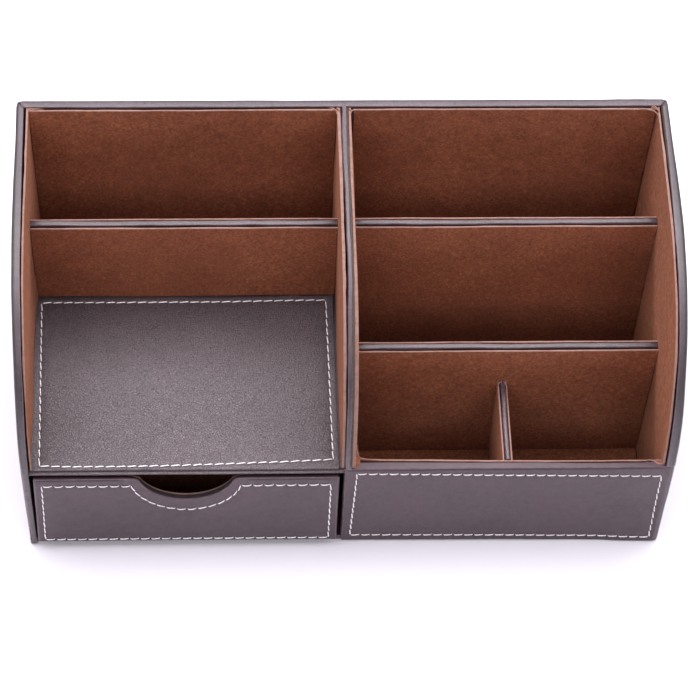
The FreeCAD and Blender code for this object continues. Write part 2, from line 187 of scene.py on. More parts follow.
# ---------------------------------------------------------------- mesh building
class Geo:
    """Collects the vertices and faces of one piece, in mm, frame axes."""

    def __init__(self):
        self.v, self.f, self.edge, self.n = [], [], [], 0

    def add(self, p, faces, edge=0.0):
        p = np.asarray(p, float)
        self.v.append(p)
        self.edge.append(np.broadcast_to(np.asarray(edge, float), (len(p),)).copy())
        self.f.extend([tuple(i + self.n for i in f) for f in faces])
        self.n += len(p)

    def obj(self, name, material, sharp=38.0, weld=0.004):
        v = np.concatenate(self.v) * 0.001
        me = bpy.data.meshes.new(name)
        bm = bmesh.new()
        lay = bm.verts.layers.float.new("edge")
        vs = []
        e = np.concatenate(self.edge)
        for p, a in zip(v, e):
            w = bm.verts.new(p)
            w[lay] = float(a)
            vs.append(w)
        for f in self.f:
            if len(set(f)) == len(f):
                try:
                    bm.faces.new([vs[i] for i in f])
                except ValueError:
                    pass
        bmesh.ops.remove_doubles(bm, verts=bm.verts, dist=weld * 0.001)
        bmesh.ops.dissolve_degenerate(bm, edges=bm.edges, dist=weld * 0.0005)
        loose = [x for x in bm.verts if not x.link_faces]
        bmesh.ops.delete(bm, geom=loose, context="VERTS")
        bmesh.ops.recalc_face_normals(bm, faces=bm.faces)
        for f in bm.faces:
            f.smooth = True
        bm.to_mesh(me)
        bm.free()
        me.set_sharp_from_angle(angle=math.radians(sharp))
        me.materials.append(material)
        o = bpy.data.objects.new(name, me)
        bpy.context.scene.collection.objects.link(o)
        return o


def fill(loop, loops=(), lines=(), spacing=5.0):
    """Triangles over the inside of a closed loop, with inner loops, open lines and a
    staggered grid as extra vertices. Returns points and triangles; the first
    len(loop) points are the loop's own."""
    pts = [p for p in loop]
    edges = [(i, (i + 1) % len(loop)) for i in range(len(loop))]
    sa, sb = [loop], [np.roll(loop, -1, 0)]
    for lp in loops:
        k = len(pts)
        pts += [p for p in lp]
        edges += [(k + i, k + (i + 1) % len(lp)) for i in range(len(lp))]
        sa.append(lp)
        sb.append(np.roll(lp, -1, 0))
    for ln in lines:
        k = len(pts)
        pts += [p for p in ln]
        edges += [(k + i, k + i + 1) for i in range(len(ln) - 1)]
        sa.append(ln[:-1])
        sb.append(ln[1:])
    if spacing:
        lo, hi = loop.min(0), loop.max(0)
        g = []
        nr = max(1, int((hi[1] - lo[1]) / (spacing * 0.87)))
        for j in range(nr + 1):
            y = lo[1] + (hi[1] - lo[1]) * (j + 0.5) / (nr + 1)
            nc = max(1, int((hi[0] - lo[0]) / spacing))
            xs = lo[0] + (hi[0] - lo[0]) * (np.arange(nc + 1) + (0.25 if j % 2 else 0.75)) / (nc + 1)
            g.append(np.stack([xs, np.full(len(xs), y)], 1))
        g = np.concatenate(g)
        g = g[inside(g, loop)]
        if len(g):
            d = seg_dist(g, np.concatenate(sa), np.concatenate(sb))
            g = g[d > spacing * 0.45]
            pts += [p for p in g]
    res = delaunay_2d_cdt([Vector((float(p[0]), float(p[1]))) for p in pts], edges, [], 1, 1e-5, True)
    vo, _, fo, ov = res[0], res[1], res[2], res[3]
    n = len(loop)
    out = [tuple(p) for p in loop]
    remap = {}
    for i, p in enumerate(vo):
        own = [k for k in ov[i] if k < n]
        if own:
            remap[i] = own[0]
        else:
            remap[i] = len(out)
            out.append((p.x, p.y))
    out = np.array(out, float)
    tris = [tuple(remap[i] for i in f) for f in fo]
    tris = [t for t in tris if len(set(t)) == 3]
    # nothing across a hollow of the outline
    ctr = np.array([out[list(t)].mean(0) for t in tris])
    keep = inside(ctr, loop)
    return out, [t for t, k in zip(tris, keep) if k]


def slab(geo, loop, t, rf, rb, fmap, seg=5, spacing=6.0, loops=(), lines=(), back_spacing=None, back_lines=(),
         support=0.5, edge_tone=1.0, tone=None, deep=None):
    """Panel of outline loop (u, v), thickness t in w, edges rounded by rf on the
    w = 0 side and rb on the other. fmap(u, v, w) gives frame coordinates. deep(u, v)
    is how far the front face sinks at a point."""
    n = len(loop)
    rf = np.broadcast_to(np.asarray(rf, float), (n,))
    rb = np.broadcast_to(np.asarray(rb, float), (n,))
    rows = []
    # each rounding row carries an edge value sin(2a)·edge_tone; leather lightens it as wear and painted highlight
    for k in range(seg + 1):
        a = k / seg * math.pi / 2
        rows.append((rf * (1 - math.sin(a)), rf * (1 - math.cos(a)), math.sin(2 * a) * edge_tone))
    for k in range(seg + 1):
        a = k / seg * math.pi / 2
        rows.append((rb * (1 - math.cos(a)), t - rb + rb * math.sin(a), math.sin(2 * a) * edge_tone))
    uvw, tones = [], []
    for ins, w, tn in rows:
        p = offset(loop, ins)
        uvw.append(np.column_stack([p, np.broadcast_to(w, (n,))]))
        tones.append(np.full(n, tn))
    faces = []
    for r in range(len(rows) - 1):
        a, b = r * n, (r + 1) * n
        for i in range(n):
            j = (i + 1) % n
            faces.append((a + i, a + j, b + j, b + i))
    base = len(rows) * n
    # front face
    inner = []
    if support:
        inner.append(offset(loop, rf + support))
    p, tr = fill(uvw[0][:, :2], list(inner) + list(loops), lines, spacing)
    ex = p[n:]
    w0 = np.zeros(len(ex)) if deep is None else deep(ex[:, 0], ex[:, 1])
    uvw.append(np.column_stack([ex, w0]))
    tones.append(np.zeros(len(ex)))
    idx = lambda i: i if i < n else base + i - n
    faces += [tuple(idx(i) for i in f) for f in tr]
    base += len(ex)
    # back face
    last = (len(rows) - 1) * n
    inner = [offset(loop, rb + support)] if support else []
    p, tr = fill(uvw[len(rows) - 1][:, :2], inner, back_lines, back_spacing if back_spacing is not None else spacing)
    ex = p[n:]
    uvw.append(np.column_stack([ex, np.full(len(ex), t)]))
    tones.append(np.zeros(len(ex)))
    idx2 = lambda i: last + i if i < n else base + i - n
    faces += [tuple(idx2(i) for i in reversed(f)) for f in tr]
    q = np.concatenate(uvw)
    tn = np.concatenate(tones)
    if tone is not None:
        tn = tone(q[:, 0], q[:, 1], q[:, 2], tn)
    x, y, z = fmap(q[:, 0], q[:, 1], q[:, 2])
    geo.add(np.stack([x, y, z], 1), faces, tn)


def corner(s, w, r=3.0, span=20.0):
    """Where the leather lies near a mitred upright corner whose outer edge is
    rounded by r: s is the distance from the corner along the outer face, w the
    depth. Returns the distance from the corner plane and the depth."""
    s, w = np.broadcast_arrays(np.asarray(s, float), np.asarray(w, float))
    s0 = r * math.pi / 4
    m = np.maximum(w, r)
    far = np.where(s >= span, s, m + (s - s0) * (span - m) / (span - s0))
    phi = (math.pi / 4) * (1 - np.clip(s, 0, s0) / s0)
    rr = np.maximum(r - w, 0)
    al = np.where(w < r, r - rr * np.sin(phi), w)
    dp = np.where(w < r, r - rr * np.cos(phi), w)
    return np.where(s >= s0, far, al), np.where(s >= s0, w, dp)


def lean_xz(side, dx, z):
    """dx is the depth inwards from the outer face of a side wall."""
    dz = z - H
    return side * (HW - dx * CT + dz * ST), H + dx * ST + dz * CT


# ---------------------------------------------------------------- materials
def new_mat(name):
    m = bpy.data.materials.new(name)
    m.use_nodes = True
    nt = m.node_tree
    nt.nodes.clear()
    out = nt.nodes.new("ShaderNodeOutputMaterial")
    b = nt.nodes.new("ShaderNodeBsdfPrincipled")
    nt.links.new(b.outputs[0], out.inputs[0])
    return m, nt, b


class N:
    """Short hand for wiring nodes."""

    def __init__(self, nt):
        self.nt = nt
        self.co = nt.nodes.new("ShaderNodeTexCoord").outputs["Object"]

    def node(self, kind, ins=None, **props):
        n = self.nt.nodes.new(kind)
        for k, v in props.items():
            setattr(n, k, v)
        for k, v in (ins or {}).items():
            s = n.inputs[k]
            if isinstance(v, bpy.types.NodeSocket):
                self.nt.links.new(v, s)
            else:
                s.default_value = v
        return n

    def map(self, scale, rot=(0, 0, 0)):
        return self.node("ShaderNodeMapping", {"Vector": self.co, "Scale": scale, "Rotation": rot}).outputs[0]

    def noise(self, scale, detail=3.0, rough=0.55, vec=None, dist=0.0):
        n = self.node("ShaderNodeTexNoise", {"Vector": vec or self.co, "Scale": scale, "Detail": detail, "Roughness": rough, "Distortion": dist})
        return n.outputs["Fac"]

    def voronoi(self, scale, feature="DISTANCE_TO_EDGE", vec=None, rand=1.0):
        n = self.node("ShaderNodeTexVoronoi", {"Vector": vec or self.co, "Scale": scale, "Randomness": rand}, feature=feature)
        return n.outputs["Distance"]

    def ramp(self, fac, stops):
        n = self.node("ShaderNodeValToRGB", {"Fac": fac})
        r = n.color_ramp
        while len(r.elements) < len(stops):
            r.elements.new(0.5)
        for e, (p, c) in zip(r.elements, stops):
            e.position = p
            e.color = c if len(c) == 4 else (*c, 1)
        return n.outputs["Color"]

    def span(self, v, a, b, lo=0.0, hi=1.0):
        """Smooth step of v from a to b, giving lo to hi."""
        return self.node("ShaderNodeMapRange", {"Value": v, "From Min": a, "From Max": b, "To Min": lo, "To Max": hi}, interpolation_type="SMOOTHSTEP").outputs[0]

    def grey(self, v):
        return self.node("ShaderNodeCombineColor", {0: v, 1: v, 2: v}).outputs[0]

    def math(self, op, a, b=None, clamp=False):
        ins = {0: a}
        if b is not None:
            ins[1] = b
        return self.node("ShaderNodeMath", ins, operation=op, use_clamp=clamp).outputs[0]

    def mix(self, fac, a, b, blend="MIX"):
        n = self.node("ShaderNodeMix", None, data_type="RGBA", blend_type=blend)
        for k, v in ((0, fac), (6, a), (7, b)):
            s = n.inputs[k]
            if isinstance(v, bpy.types.NodeSocket):
                self.nt.links.new(v, s)
            else:
                s.default_value = v if not isinstance(v, tuple) or len(v) == 4 else (*v, 1)
        return n.outputs[2]

    def attr(self, name):
        return self.node("ShaderNodeAttribute", None, attribute_name=name, attribute_type="GEOMETRY").outputs["Fac"]

    def bump(self, height, strength, dist, normal=None):
        ins = {"Height": height, "Strength": strength, "Distance": dist}
        if normal is not None:
            ins["Normal"] = normal
        return self.node("ShaderNodeBump", ins).outputs[0]


def lin(r, g, b):
    f = lambda c: c / 12.92 if c <= 0.04045 else ((c + 0.055) / 1.055) ** 2.4
    return (f(r / 255), f(g / 255), f(b / 255), 1.0)


def leather_material(name, dark, mid, wear_highlight_col, grain=0.5, cell=950.0, rough=(0.34, 0.46), spec=0.5, coat=0.1, grain_crease_shade=0.7, valley=0.12, foot=0.0):
    m, nt, b = new_mat(name)
    w = N(nt)
    col = w.mix(w.span(w.noise(24.0, 3.0, 0.55), 0.3, 0.7), dark, mid)
    col = w.mix(w.span(w.noise(380.0, 4.0, 0.6), 0.35, 0.8, 0.0, 0.7), col, mid)
    e = w.attr("edge")
    # rounded edges (positive edge value) are lightened toward the given colour: partly wear, partly painted highlight
    wear_and_highlight = w.math("MULTIPLY", e, w.span(w.noise(230.0, 3.0, 0.6), 0.3, 0.72, 0.1, 1.0), clamp=True)
    col = w.mix(w.math("MULTIPLY", wear_and_highlight, 0.4), col, wear_highlight_col)
    # painted shade: a negative edge value darkens the colour almost to black and roughens it, on the outer rounding of
    # the side walls' rims and in the thumb notch
    painted_edge_shade = w.math("MULTIPLY", e, -1.0, clamp=True)
    col = w.mix(w.math("MULTIPLY", painted_edge_shade, w.span(w.noise(210.0, 3.0, 0.6), 0.3, 0.7, 0.7, 1.0)), col, (0.010, 0.008, 0.009, 1.0))
    # pebbles with creases between them; creases and pores are darkened in colour, partly grain and partly painted shade
    warp = w.node("ShaderNodeTexNoise", {"Vector": w.co, "Scale": 170.0, "Detail": 2.0})
    sc = w.node("ShaderNodeVectorMath", {0: warp.outputs["Color"]}, operation="SCALE")
    sc.inputs["Scale"].default_value = 0.0022
    vec = w.node("ShaderNodeVectorMath", {0: w.co, 1: sc.outputs[0]}, operation="ADD").outputs[0]
    cells = w.voronoi(cell, "DISTANCE_TO_EDGE", vec)
    small = w.voronoi(cell * 2.3, "DISTANCE_TO_EDGE", vec)
    pores = w.noise(cell * 1.6, 3.0, 0.65)
    h = w.math("ADD", w.math("MULTIPLY", w.math("MINIMUM", cells, 0.2), 3.2), w.math("MULTIPLY", w.math("MINIMUM", small, 0.2), 1.2))
    h = w.math("ADD", h, w.math("MULTIPLY", pores, 1.1))
    col = w.mix(1.0, col, w.grey(w.span(cells, 0.0, 0.14, grain_crease_shade, 1.0)), "MULTIPLY")
    col = w.mix(1.0, col, w.grey(w.span(pores, 0.34, 0.6, grain_crease_shade, 1.08)), "MULTIPLY")
    # painted shade: darker towards the bottom and lighter towards the top, by height
    if foot:
        height = nt.nodes.new("ShaderNodeSeparateXYZ")
        nt.links.new(w.co, height.inputs[0])
        col = w.mix(1.0, col, w.grey(w.span(height.outputs[2], 0.0, 0.064, 1 - foot, 1 + foot)), "MULTIPLY")
    nt.links.new(col, b.inputs["Base Color"])
    r = w.span(w.noise(260.0, 3.0, 0.6), 0.3, 0.7, rough[0], rough[1])
    r = w.math("SUBTRACT", r, w.math("MULTIPLY", wear_and_highlight, 0.06))
    r = w.math("ADD", r, w.math("MULTIPLY", painted_edge_shade, 0.26))
    r = w.math("ADD", r, w.span(cells, 0.0, 0.16, valley, 0.0))
    r = w.math("ADD", r, w.span(pores, 0.36, 0.56, valley, 0.0), clamp=True)
    nt.links.new(r, b.inputs["Roughness"])
    n1 = w.bump(w.noise(50.0, 3.0, 0.5), 0.16, 0.0006)
    n2 = w.bump(h, grain, 0.00016, n1)
    nt.links.new(n2, b.inputs["Normal"])
    b.inputs["Specular IOR Level"].default_value = spec
    b.inputs["Coat Weight"].default_value = coat
    b.inputs["Coat Roughness"].default_value = 0.30
    return m


def suede_material(name, dark, mid, light, edge_col, mottle=0.0):
    m, nt, b = new_mat(name)
    w = N(nt)
    height = nt.nodes.new("ShaderNodeSeparateXYZ")
    nt.links.new(w.co, height.inputs[0])
    # slow shading of the nap, finger-wide brushed patches, pile and single fibres
    slow = w.noise(9.0, 2.0, 0.5)
    brushed = w.noise(48.0, 4.0, 0.6, dist=0.6)
    nap = w.noise(330.0, 4.0, 0.65)
    pile = w.noise(820.0, 3.0, 0.7)
    fibre = w.noise(2300.0, 2.0, 0.6)
    f = w.math("ADD", w.math("MULTIPLY", slow, 0.22), w.math("MULTIPLY", brushed, 0.09))
    f = w.math("ADD", f, w.math("ADD", w.math("MULTIPLY", nap, 0.23), w.math("MULTIPLY", pile, 0.46)))
    col = w.ramp(f, [(0.39, dark[:3]), (0.50, mid[:3]), (0.61, light[:3])])
    col = w.mix(w.span(pile, 0.32, 0.45, 0.45, 0.0), col, dark)
    col = w.mix(w.span(fibre, 0.54, 0.74, 0.0, 0.42), col, light)
    # painted shade: the colour darkens low in the bays, standing in for the shade deep in the compartments
    low = w.span(height.outputs[2], 0.003, 0.085)
    col = w.mix(1.0, col, w.grey(w.span(w.noise(88.0, 2.0, 0.55), 0.32, 0.68, 0.95, 1.05)), "MULTIPLY")
    col = w.mix(1.0, col, w.mix(low, (0.67, 0.73, 0.79, 1.0), (1.0, 1.0, 1.0, 1.0)), "MULTIPLY")
    # painted light: the lowest few centimetres are lightened again, easing that painted shade
    col = w.mix(1.0, col, w.mix(w.span(height.outputs[2], 0.0, 0.036), (1.20, 1.19, 1.17, 1.0), (1.0, 1.0, 1.0, 1.0)), "MULTIPLY")
    if mottle > 0:
        col = w.mix(1.0, col, w.grey(w.span(w.noise(270.0, 3.0, 0.6), 0.3, 0.7, 1 - mottle, 1 + mottle)), "MULTIPLY")
    e = w.attr("edge")
    # painted shade: the colour is darkened where a negative edge value asks for it
    flat = w.math("MULTIPLY", e, -1.0, clamp=True)
    col = w.mix(1.0, col, w.mix(flat, (1.0, 1.0, 1.0, 1.0), (0.58, 0.48, 0.38, 1.0)), "MULTIPLY")
    ed = w.math("MULTIPLY", e, w.span(w.noise(380.0, 3.0, 0.6), 0.3, 0.62, 0.55, 1.0), clamp=True)
    col = w.mix(ed, col, edge_col)
    nt.links.new(col, b.inputs["Base Color"])
    nt.links.new(w.span(nap, 0.3, 0.7, 0.82, 0.94), b.inputs["Roughness"])
    n1 = w.bump(brushed, 0.22, 0.0006)
    hh = w.math("ADD", w.math("MULTIPLY", nap, 0.5), w.math("ADD", w.math("MULTIPLY", pile, 0.7), w.math("MULTIPLY", fibre, 0.4)))
    n2 = w.bump(hh, 0.6, 0.00022, n1)
    nt.links.new(n2, b.inputs["Normal"])
    b.inputs["Specular IOR Level"].default_value = 0.15
    b.inputs["Sheen Weight"].default_value = 0.22
    b.inputs["Sheen Roughness"].default_value = 0.5
    b.inputs["Sheen Tint"].default_value = lin(196, 150, 126)
    return m


def thread_material():
    m, nt, b = new_mat("thread_cream")
    w = N(nt)
    f = w.noise(900.0, 3.0, 0.6)
    col = w.mix(w.span(f, 0.3, 0.7), lin(232, 223, 228), lin(251, 246, 249))
    col = w.mix(w.span(w.noise(260.0, 2.0, 0.5), 0.45, 0.75, 0.0, 0.22), col, lin(196, 183, 186))
    nt.links.new(col, b.inputs["Base Color"])
    nt.links.new(w.span(f, 0.2, 0.8, 0.5, 0.7), b.inputs["Roughness"])
    nt.links.new(w.bump(w.noise(5200.0, 2.0, 0.6), 0.4, 0.00012), b.inputs["Normal"])
    b.inputs["Sheen Weight"].default_value = 0.2
    b.inputs["Sheen Roughness"].default_value = 0.5
    return m


def board_material():
    m, nt, b = new_mat("board_mdf")
    w = N(nt)
    col = w.ramp(w.noise(900.0, 5.0, 0.7), [(0.3, lin(58, 46, 40)[:3]), (0.7, lin(84, 68, 58)[:3])])
    nt.links.new(col, b.inputs["Base Color"])
    r = w.math("MULTIPLY_ADD", w.noise(300.0), 0.15)
    r.node.inputs[2].default_value = 0.75
    nt.links.new(r, b.inputs["Roughness"])
    nt.links.new(w.bump(w.noise(1600.0, 4.0, 0.7), 0.35, 0.0002), b.inputs["Normal"])
    return m


def felt_material():
    m, nt, b = new_mat("felt_dark")
    w = N(nt)
    a = w.noise(1700.0, 4.0, 0.75)
    c = w.noise(60.0, 3.0, 0.6)
    col = w.ramp(w.math("ADD", w.math("MULTIPLY", a, 0.7), w.math("MULTIPLY", c, 0.3)), [(0.35, lin(26, 22, 22)[:3]), (0.68, lin(66, 56, 54)[:3])])
    nt.links.new(col, b.inputs["Base Color"])
    r = w.math("MULTIPLY_ADD", c, 0.1)
    r.node.inputs[2].default_value = 0.88
    nt.links.new(r, b.inputs["Roughness"])
    nt.links.new(w.bump(w.noise(2400.0, 5.0, 0.8), 0.8, 0.0004, w.bump(c, 0.3, 0.0008)), b.inputs["Normal"])
    b.inputs["Specular IOR Level"].default_value = 0.15
    b.inputs["Sheen Weight"].default_value = 0.25
    return m


# the third colour is what rounded leather edges lighten to: wear and painted highlight
DARK, MID, WEAR_HIGHLIGHT = lin(59, 42, 50), lin(71, 51, 60), lin(132, 112, 117)
LEATHER = leather_material("leather_espresso", lin(50, 33, 39), MID, WEAR_HIGHLIGHT, grain=0.45, rough=(0.24, 0.34), spec=0.78, coat=0.15, grain_crease_shade=0.75, valley=0.08)
DECK_LEATHER = leather_material("leather_deck", DARK, MID, WEAR_HIGHLIGHT, grain=1.0, cell=820.0, rough=(0.26, 0.35), spec=0.95, coat=0.15, grain_crease_shade=0.5, valley=0.32)
# the front leather gets the painted height shading (foot=0.07)
FRONT_LEATHER = leather_material("leather_front", DARK, MID, WEAR_HIGHLIGHT, grain=0.28, cell=1250.0, rough=(0.36, 0.46), spec=0.46, grain_crease_shade=0.85, valley=0.06, foot=0.07)
SUEDE = suede_material("suede_brown", lin(104, 56, 38), lin(130, 74, 52), lin(158, 98, 70), lin(142, 114, 106))
SIDE_SUEDE = suede_material("suede_brown_side", lin(104, 56, 38), lin(130, 74, 52), lin(158, 98, 70), lin(142, 114, 106), 0.20)
THREAD = thread_material()
MDF = board_material()
FELT = felt_material()


def place(o, body, *nodes):
    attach(o, body)
    if nodes:
        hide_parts(*nodes)
    return o


# ---------------------------------------------------------------- leather of the outer walls
ZB = 0.4             # underside of the turned-under leather
S0 = 3.0 * math.pi / 4
NEAR = [S0 / 3, 2 * S0 / 3, S0, S0 + 0.3, S0 + 0.65, S0 + 1.1, S0 + 1.8, S0 + 3.0, S0 + 5.0]


def uprights(xs, z0, z1, step=6.0):
    out = []
    for x in xs:
        n = max(2, int(round((z1 - z0) / step)))
        z = np.linspace(z0, z1, n + 1)
        out.append(np.stack([np.full(n + 1, x), z], 1))
    return out


def flange(geo, pts, seed):
    """Leather turned under the base, pts counter-clockwise in the frame's x and Y."""
    p = []
    for a, b in zip(pts, pts[1:] + pts[:1]):
        p.append(line(a, b, 5.0))
    loop = np.concatenate(p)

    def fm(u, v, w):
        return u, v + YO, ZB + w + 0.05 * noise3(u, v, w, 14, seed)
    slab(geo, loop, 0.62, 0.2, 0.2, fm, seg=2, spacing=8.0, support=0.3, edge_tone=0.3)


XO = HW - math.tan(LEAN) * (H - 0.7)


def rim_z(y):
    """Height of the walls' profile at Y."""
    c = curve(0.0, 2.0)
    c = c[np.argsort(c[:, 0])]
    return np.interp(y, c[:, 0], c[:, 1])


def near_rim(y, z):
    return 1 - 0.75 * sstep(rim_z(y) - z, 4, 50)


def swell_y(y):
    """The padding pushes the back wall's leather out a little."""
    return np.interp(y, [148, 161, 165], [0.0, -0.15, 0.95])


def swell_x(side, y, w):
    """How far the leather of a side wall stands out of its nominal plane, at
    depth w below the outer face; the walls were never quite straight."""
    t = np.clip(w / WALL, 0, 1)
    if side > 0:
        a = np.interp(y, [0, 4, 8, 12, 15, 19, 28, 38, 45, 52, 60, 68, 80, 90, 100, 110, 120, 130, 142, 152, 160, 165],
                      [1.3, 1.25, 1.2, 1.0, 0.78, 0.73, 0.72, 0.62, 0.64, 0.82, 1.03, 1.11, 1.15, 1.14, 1.02, 0.92, 0.78, 0.62, 0.42, 0.38, 0.25, 0.2])
        b = np.interp(y, [0, 4, 22, 45, 75, 100, 135, 165], [0.5, 0.5, 0.40, 0.30, 0.05, 0.45, 0.95, 0.95])
    else:
        a = np.interp(y, [4, 14, 38, 45, 53, 62, 73, 82, 92, 103, 112, 130, 142, 155, 165],
                      [0.0, 0.25, 0.22, 0.10, -0.17, -0.30, -0.40, -0.38, -0.42, -0.38, -0.40, -0.33, -0.22, -0.38, -0.40])
        b = np.interp(y, [4, 14, 45, 80, 110, 165], [0.0, 0.50, 0.45, 0.2, -0.10, -0.40])
    return a * (1 - t) + b * t


def swell_low(z):
    """The right wall's front edge stands out a little more below the rim."""
    return np.interp(z, [10, 27, 40, 52, 64, 75], [0.0, 0.13, 0.48, 0.43, 0.28, 0.0])


def side_cover(side):
    geo = Geo()
    top = curve(0.0, 2.0)
    back_pts = [(D - s, H) for s in [0.0] + NEAR[:-1]]
    top = np.array([p for p in top if D - p[0] > NEAR[-2] + 1.5])
    front_down = line((0, HF), (0, ZB), 3.0, dense=(0.5, 1.0, 1.5, 2.0) if side > 0 else ())
    loop = np.concatenate([
        line((0, ZB), (D, ZB), 5.0, dense=[-s for s in NEAR] + (NEAR if side > 0 else [])),
        line((D, ZB), (D, H), 6.0, dense=(-0.6, -1.2, -1.8, -2.5)),
        np.array(back_pts), top[:-1], front_down])
    r = np.full(len(loop), 1.75)
    y, z = loop[:, 0], loop[:, 1]
    r = np.where((y > D - 1e-6) & (z < H - 1e-6), 0.12, r)
    r = np.where(z < ZB + 1e-6, 0.5, r)
    if side > 0:
        r = np.where((y < 1e-6) & (z < HF - 1.2), 0.12, r)
    rim_r = r.copy()

    def fm(u, v, w):
        s = D - u
        al, dp = corner(s, w)
        near = s < 20.0
        yy = np.where(near, D - al, u)
        dx = np.where(near, dp, w)
        dip = 0.42 * bump(al - dp, 0.40) * sstep(dx, 0.5, 1.4) * near * sstep(v, H - 6, H - 4)
        if side > 0:
            k = 1 - sstep(v, HF - 1.6, HF - 0.2)
            al2, dp2 = corner(u, w)
            close = u < 20.0
            yy = np.where(close, u + (al2 - u) * k, yy)
            dx = np.where(close, w + (dp2 - w) * k, dx)
        # soft unevenness of padded leather
        un = noise3(u, v, 3.0 * side, 22, 5)
        rim = sstep(v, 40, 70)
        dx = dx + 0.10 * un * np.where(w < 0.5 * WALL, 1, -1) * sstep(s, 3, 12)
        x, zz = lean_xz(side, dx, v)
        zz = zz - dip + 0.10 * noise3(u, v, 0, 13, 11) * rim * sstep(s, 3, 10)
        yy = yy + 0.08 * noise3(u, v, 4, 15, 12) * (1 - sstep(v, 100, 140)) * sstep(v, 20, 60)
        f = near_rim(yy, zz)
        x = x + swell_x(side, yy, dx) * np.maximum(f, 1 - sstep(yy, 6, 70))
        yy = yy + swell_y(yy) * f
        foot = (1 - sstep(v, 0, 45)) * (1 - sstep(yy, 4, 28))
        if side > 0:
            yy = yy - 1.5 * foot
            x = x + swell_low(v) * (1 - sstep(yy, 3, 30)) * (1 - np.clip(dx / WALL, 0, 1))
        else:
            x = x + 0.4 * (1 - sstep(v, 0, 40)) * (1 - sstep(yy, 10, 60)) * (w < 2)
            yy = yy + 0.4 * foot
            zz = zz + 0.45 * (1 - sstep(v, 0, 12)) * (1 - sstep(yy, 10, 60))
        return x, yy + YO, zz

    lines = uprights([D - s for s in (S0 / 3, 2 * S0 / 3, S0, S0 + 1.2)], ZB + 3.0, H - 3.0)
    back_l = uprights([D - S0 - 1.0], 6.0, H - 6.0)
    if side > 0:
        lines += uprights([S0 / 3, 2 * S0 / 3, S0, S0 + 1.2], ZB + 3.0, HF - 3.2)
    # painted shade: near the rim the outer rounding loses its edge lightening and gets a negative edge value, which
    # darkens it
    def tone(u, v, w, tn):
        near = 1 - sstep(rim_z(u) - v, 1.6, 3.4)
        end = 2.8 if side > 0 else 2.1
        out = sstep(w, 0.25, 0.75) * (1 - sstep(w, 0.9, end))
        return np.where(w < 2.2, (1 - near) * tn, tn) - (0.7 + 0.3 * out) * near * (1 - sstep(w, 0.9, end))
    slab(geo, loop, WALL, rim_r, np.where(rim_r > 1, 0.6, rim_r), fm, seg=6, spacing=7.0, lines=lines, back_spacing=9.0,
         support=0.45, back_lines=back_l, tone=tone)
    x = side * XO
    a = [(x - (0 if side > 0 else -0.6), 0.3 if side > 0 else 1.2), (x, D - 0.3), (x - side * 10, D - 10), (x - side * 10, 10)]
    flange(geo, a if side > 0 else a[::-1], 31 + side)
    name = "left" if side < 0 else "right"
    return place(geo.obj(name + "_side_leather", LEATHER), "case", name + "_side_cover")


def back_cover():
    geo = Geo()
    near = NEAR
    loop = np.concatenate([
        line((-HW, ZB), (HW, ZB), 6.0, dense=near + [-s for s in near]),
        line((HW, ZB), (HW, H), 6.0, dense=(-0.6, -1.2, -1.8, -2.5)),
        line((HW, H), (-HW, H), 2.5, dense=near + [-s for s in near]),
        line((-HW, H), (-HW, ZB), 6.0, dense=(0.6, 1.2, 1.8, 2.5))])
    u, v = loop[:, 0], loop[:, 1]
    r = np.full(len(loop), 1.75)
    r = np.where((np.abs(u) > HW - 1e-6) & (v < H - 1e-6), 0.12, r)
    r = np.where(v < ZB + 1e-6, 0.5, r)

    def fm(u, v, w):
        s = HW - np.abs(u)
        al, dp = corner(s, w)
        near = s < 20.0
        al = np.where(near, al, s)
        dp = np.where(near, dp, w)
        k = np.minimum(1.0, np.abs(u) / 145.0)
        sg = np.where(u < 0, -1.0, 1.0)
        x = sg * (HW - al * (1 + (CT - 1) * k) + (v - H) * ST * k)
        dip = 0.42 * bump(al - dp, 0.40) * sstep(dp, 0.5, 1.4) * near * sstep(v, H - 6, H - 4)
        z = H + (v - H) * CT + np.minimum(al, 4.0) * ST * near - dip
        z = z + 0.12 * noise3(u, v, 0, 16, 21) * sstep(v, 140, 155) * sstep(s, 3, 10)
        y = D - dp + 0.10 * noise3(u, v, 0, 24, 22) * np.where(w < 2, 1, -1) * sstep(s, 3, 12)
        f = near_rim(y, z)
        x = x + np.where(u < 0, swell_x(-1, y, 0.0), swell_x(1, y, 0.0)) * f * sstep(np.abs(u), 110, 158)
        y = y + swell_y(y) * f
        return x, y + YO, z
    xs = [HW - s for s in (S0 / 3, 2 * S0 / 3, S0, S0 + 1.2)]
    lines = uprights(xs + [-x for x in xs], ZB + 3.0, H - 3.0)
    xb = [HW - S0 - 1.0]
    slab(geo, loop, WALL, r, np.where(r > 1, 0.6, r), fm, seg=6, spacing=8.0, lines=lines, back_spacing=10.0, support=0.45,
         back_lines=uprights(xb + [-x for x in xb], 6.0, H - 6.0))
    flange(geo, [(-XO + 10, D - 10), (XO - 10, D - 10), (XO, D - 0.3), (-XO, D - 0.3)], 41)
    return place(geo.obj("back_leather", LEATHER), "case", "back_cover")


# ---------------------------------------------------------------- stitching
def ring_holes(path, closed=True):
    """Splits each run of a stitch line into whole stitches. path is a list of
    polylines that meet end to end; returns the needle holes in order."""
    holes = []
    for run in path:
        run = np.asarray(run, float)
        s = np.concatenate([[0], np.cumsum(np.hypot(*np.diff(run, axis=0).T))])
        n = max(1, int(round(s[-1] / PITCH)))
        q = np.linspace(0, s[-1], n + 1)[:-1]
        holes.append(np.stack([np.interp(q, s, run[:, 0]), np.interp(q, s, run[:, 1])], 1))
    return np.concatenate(holes)


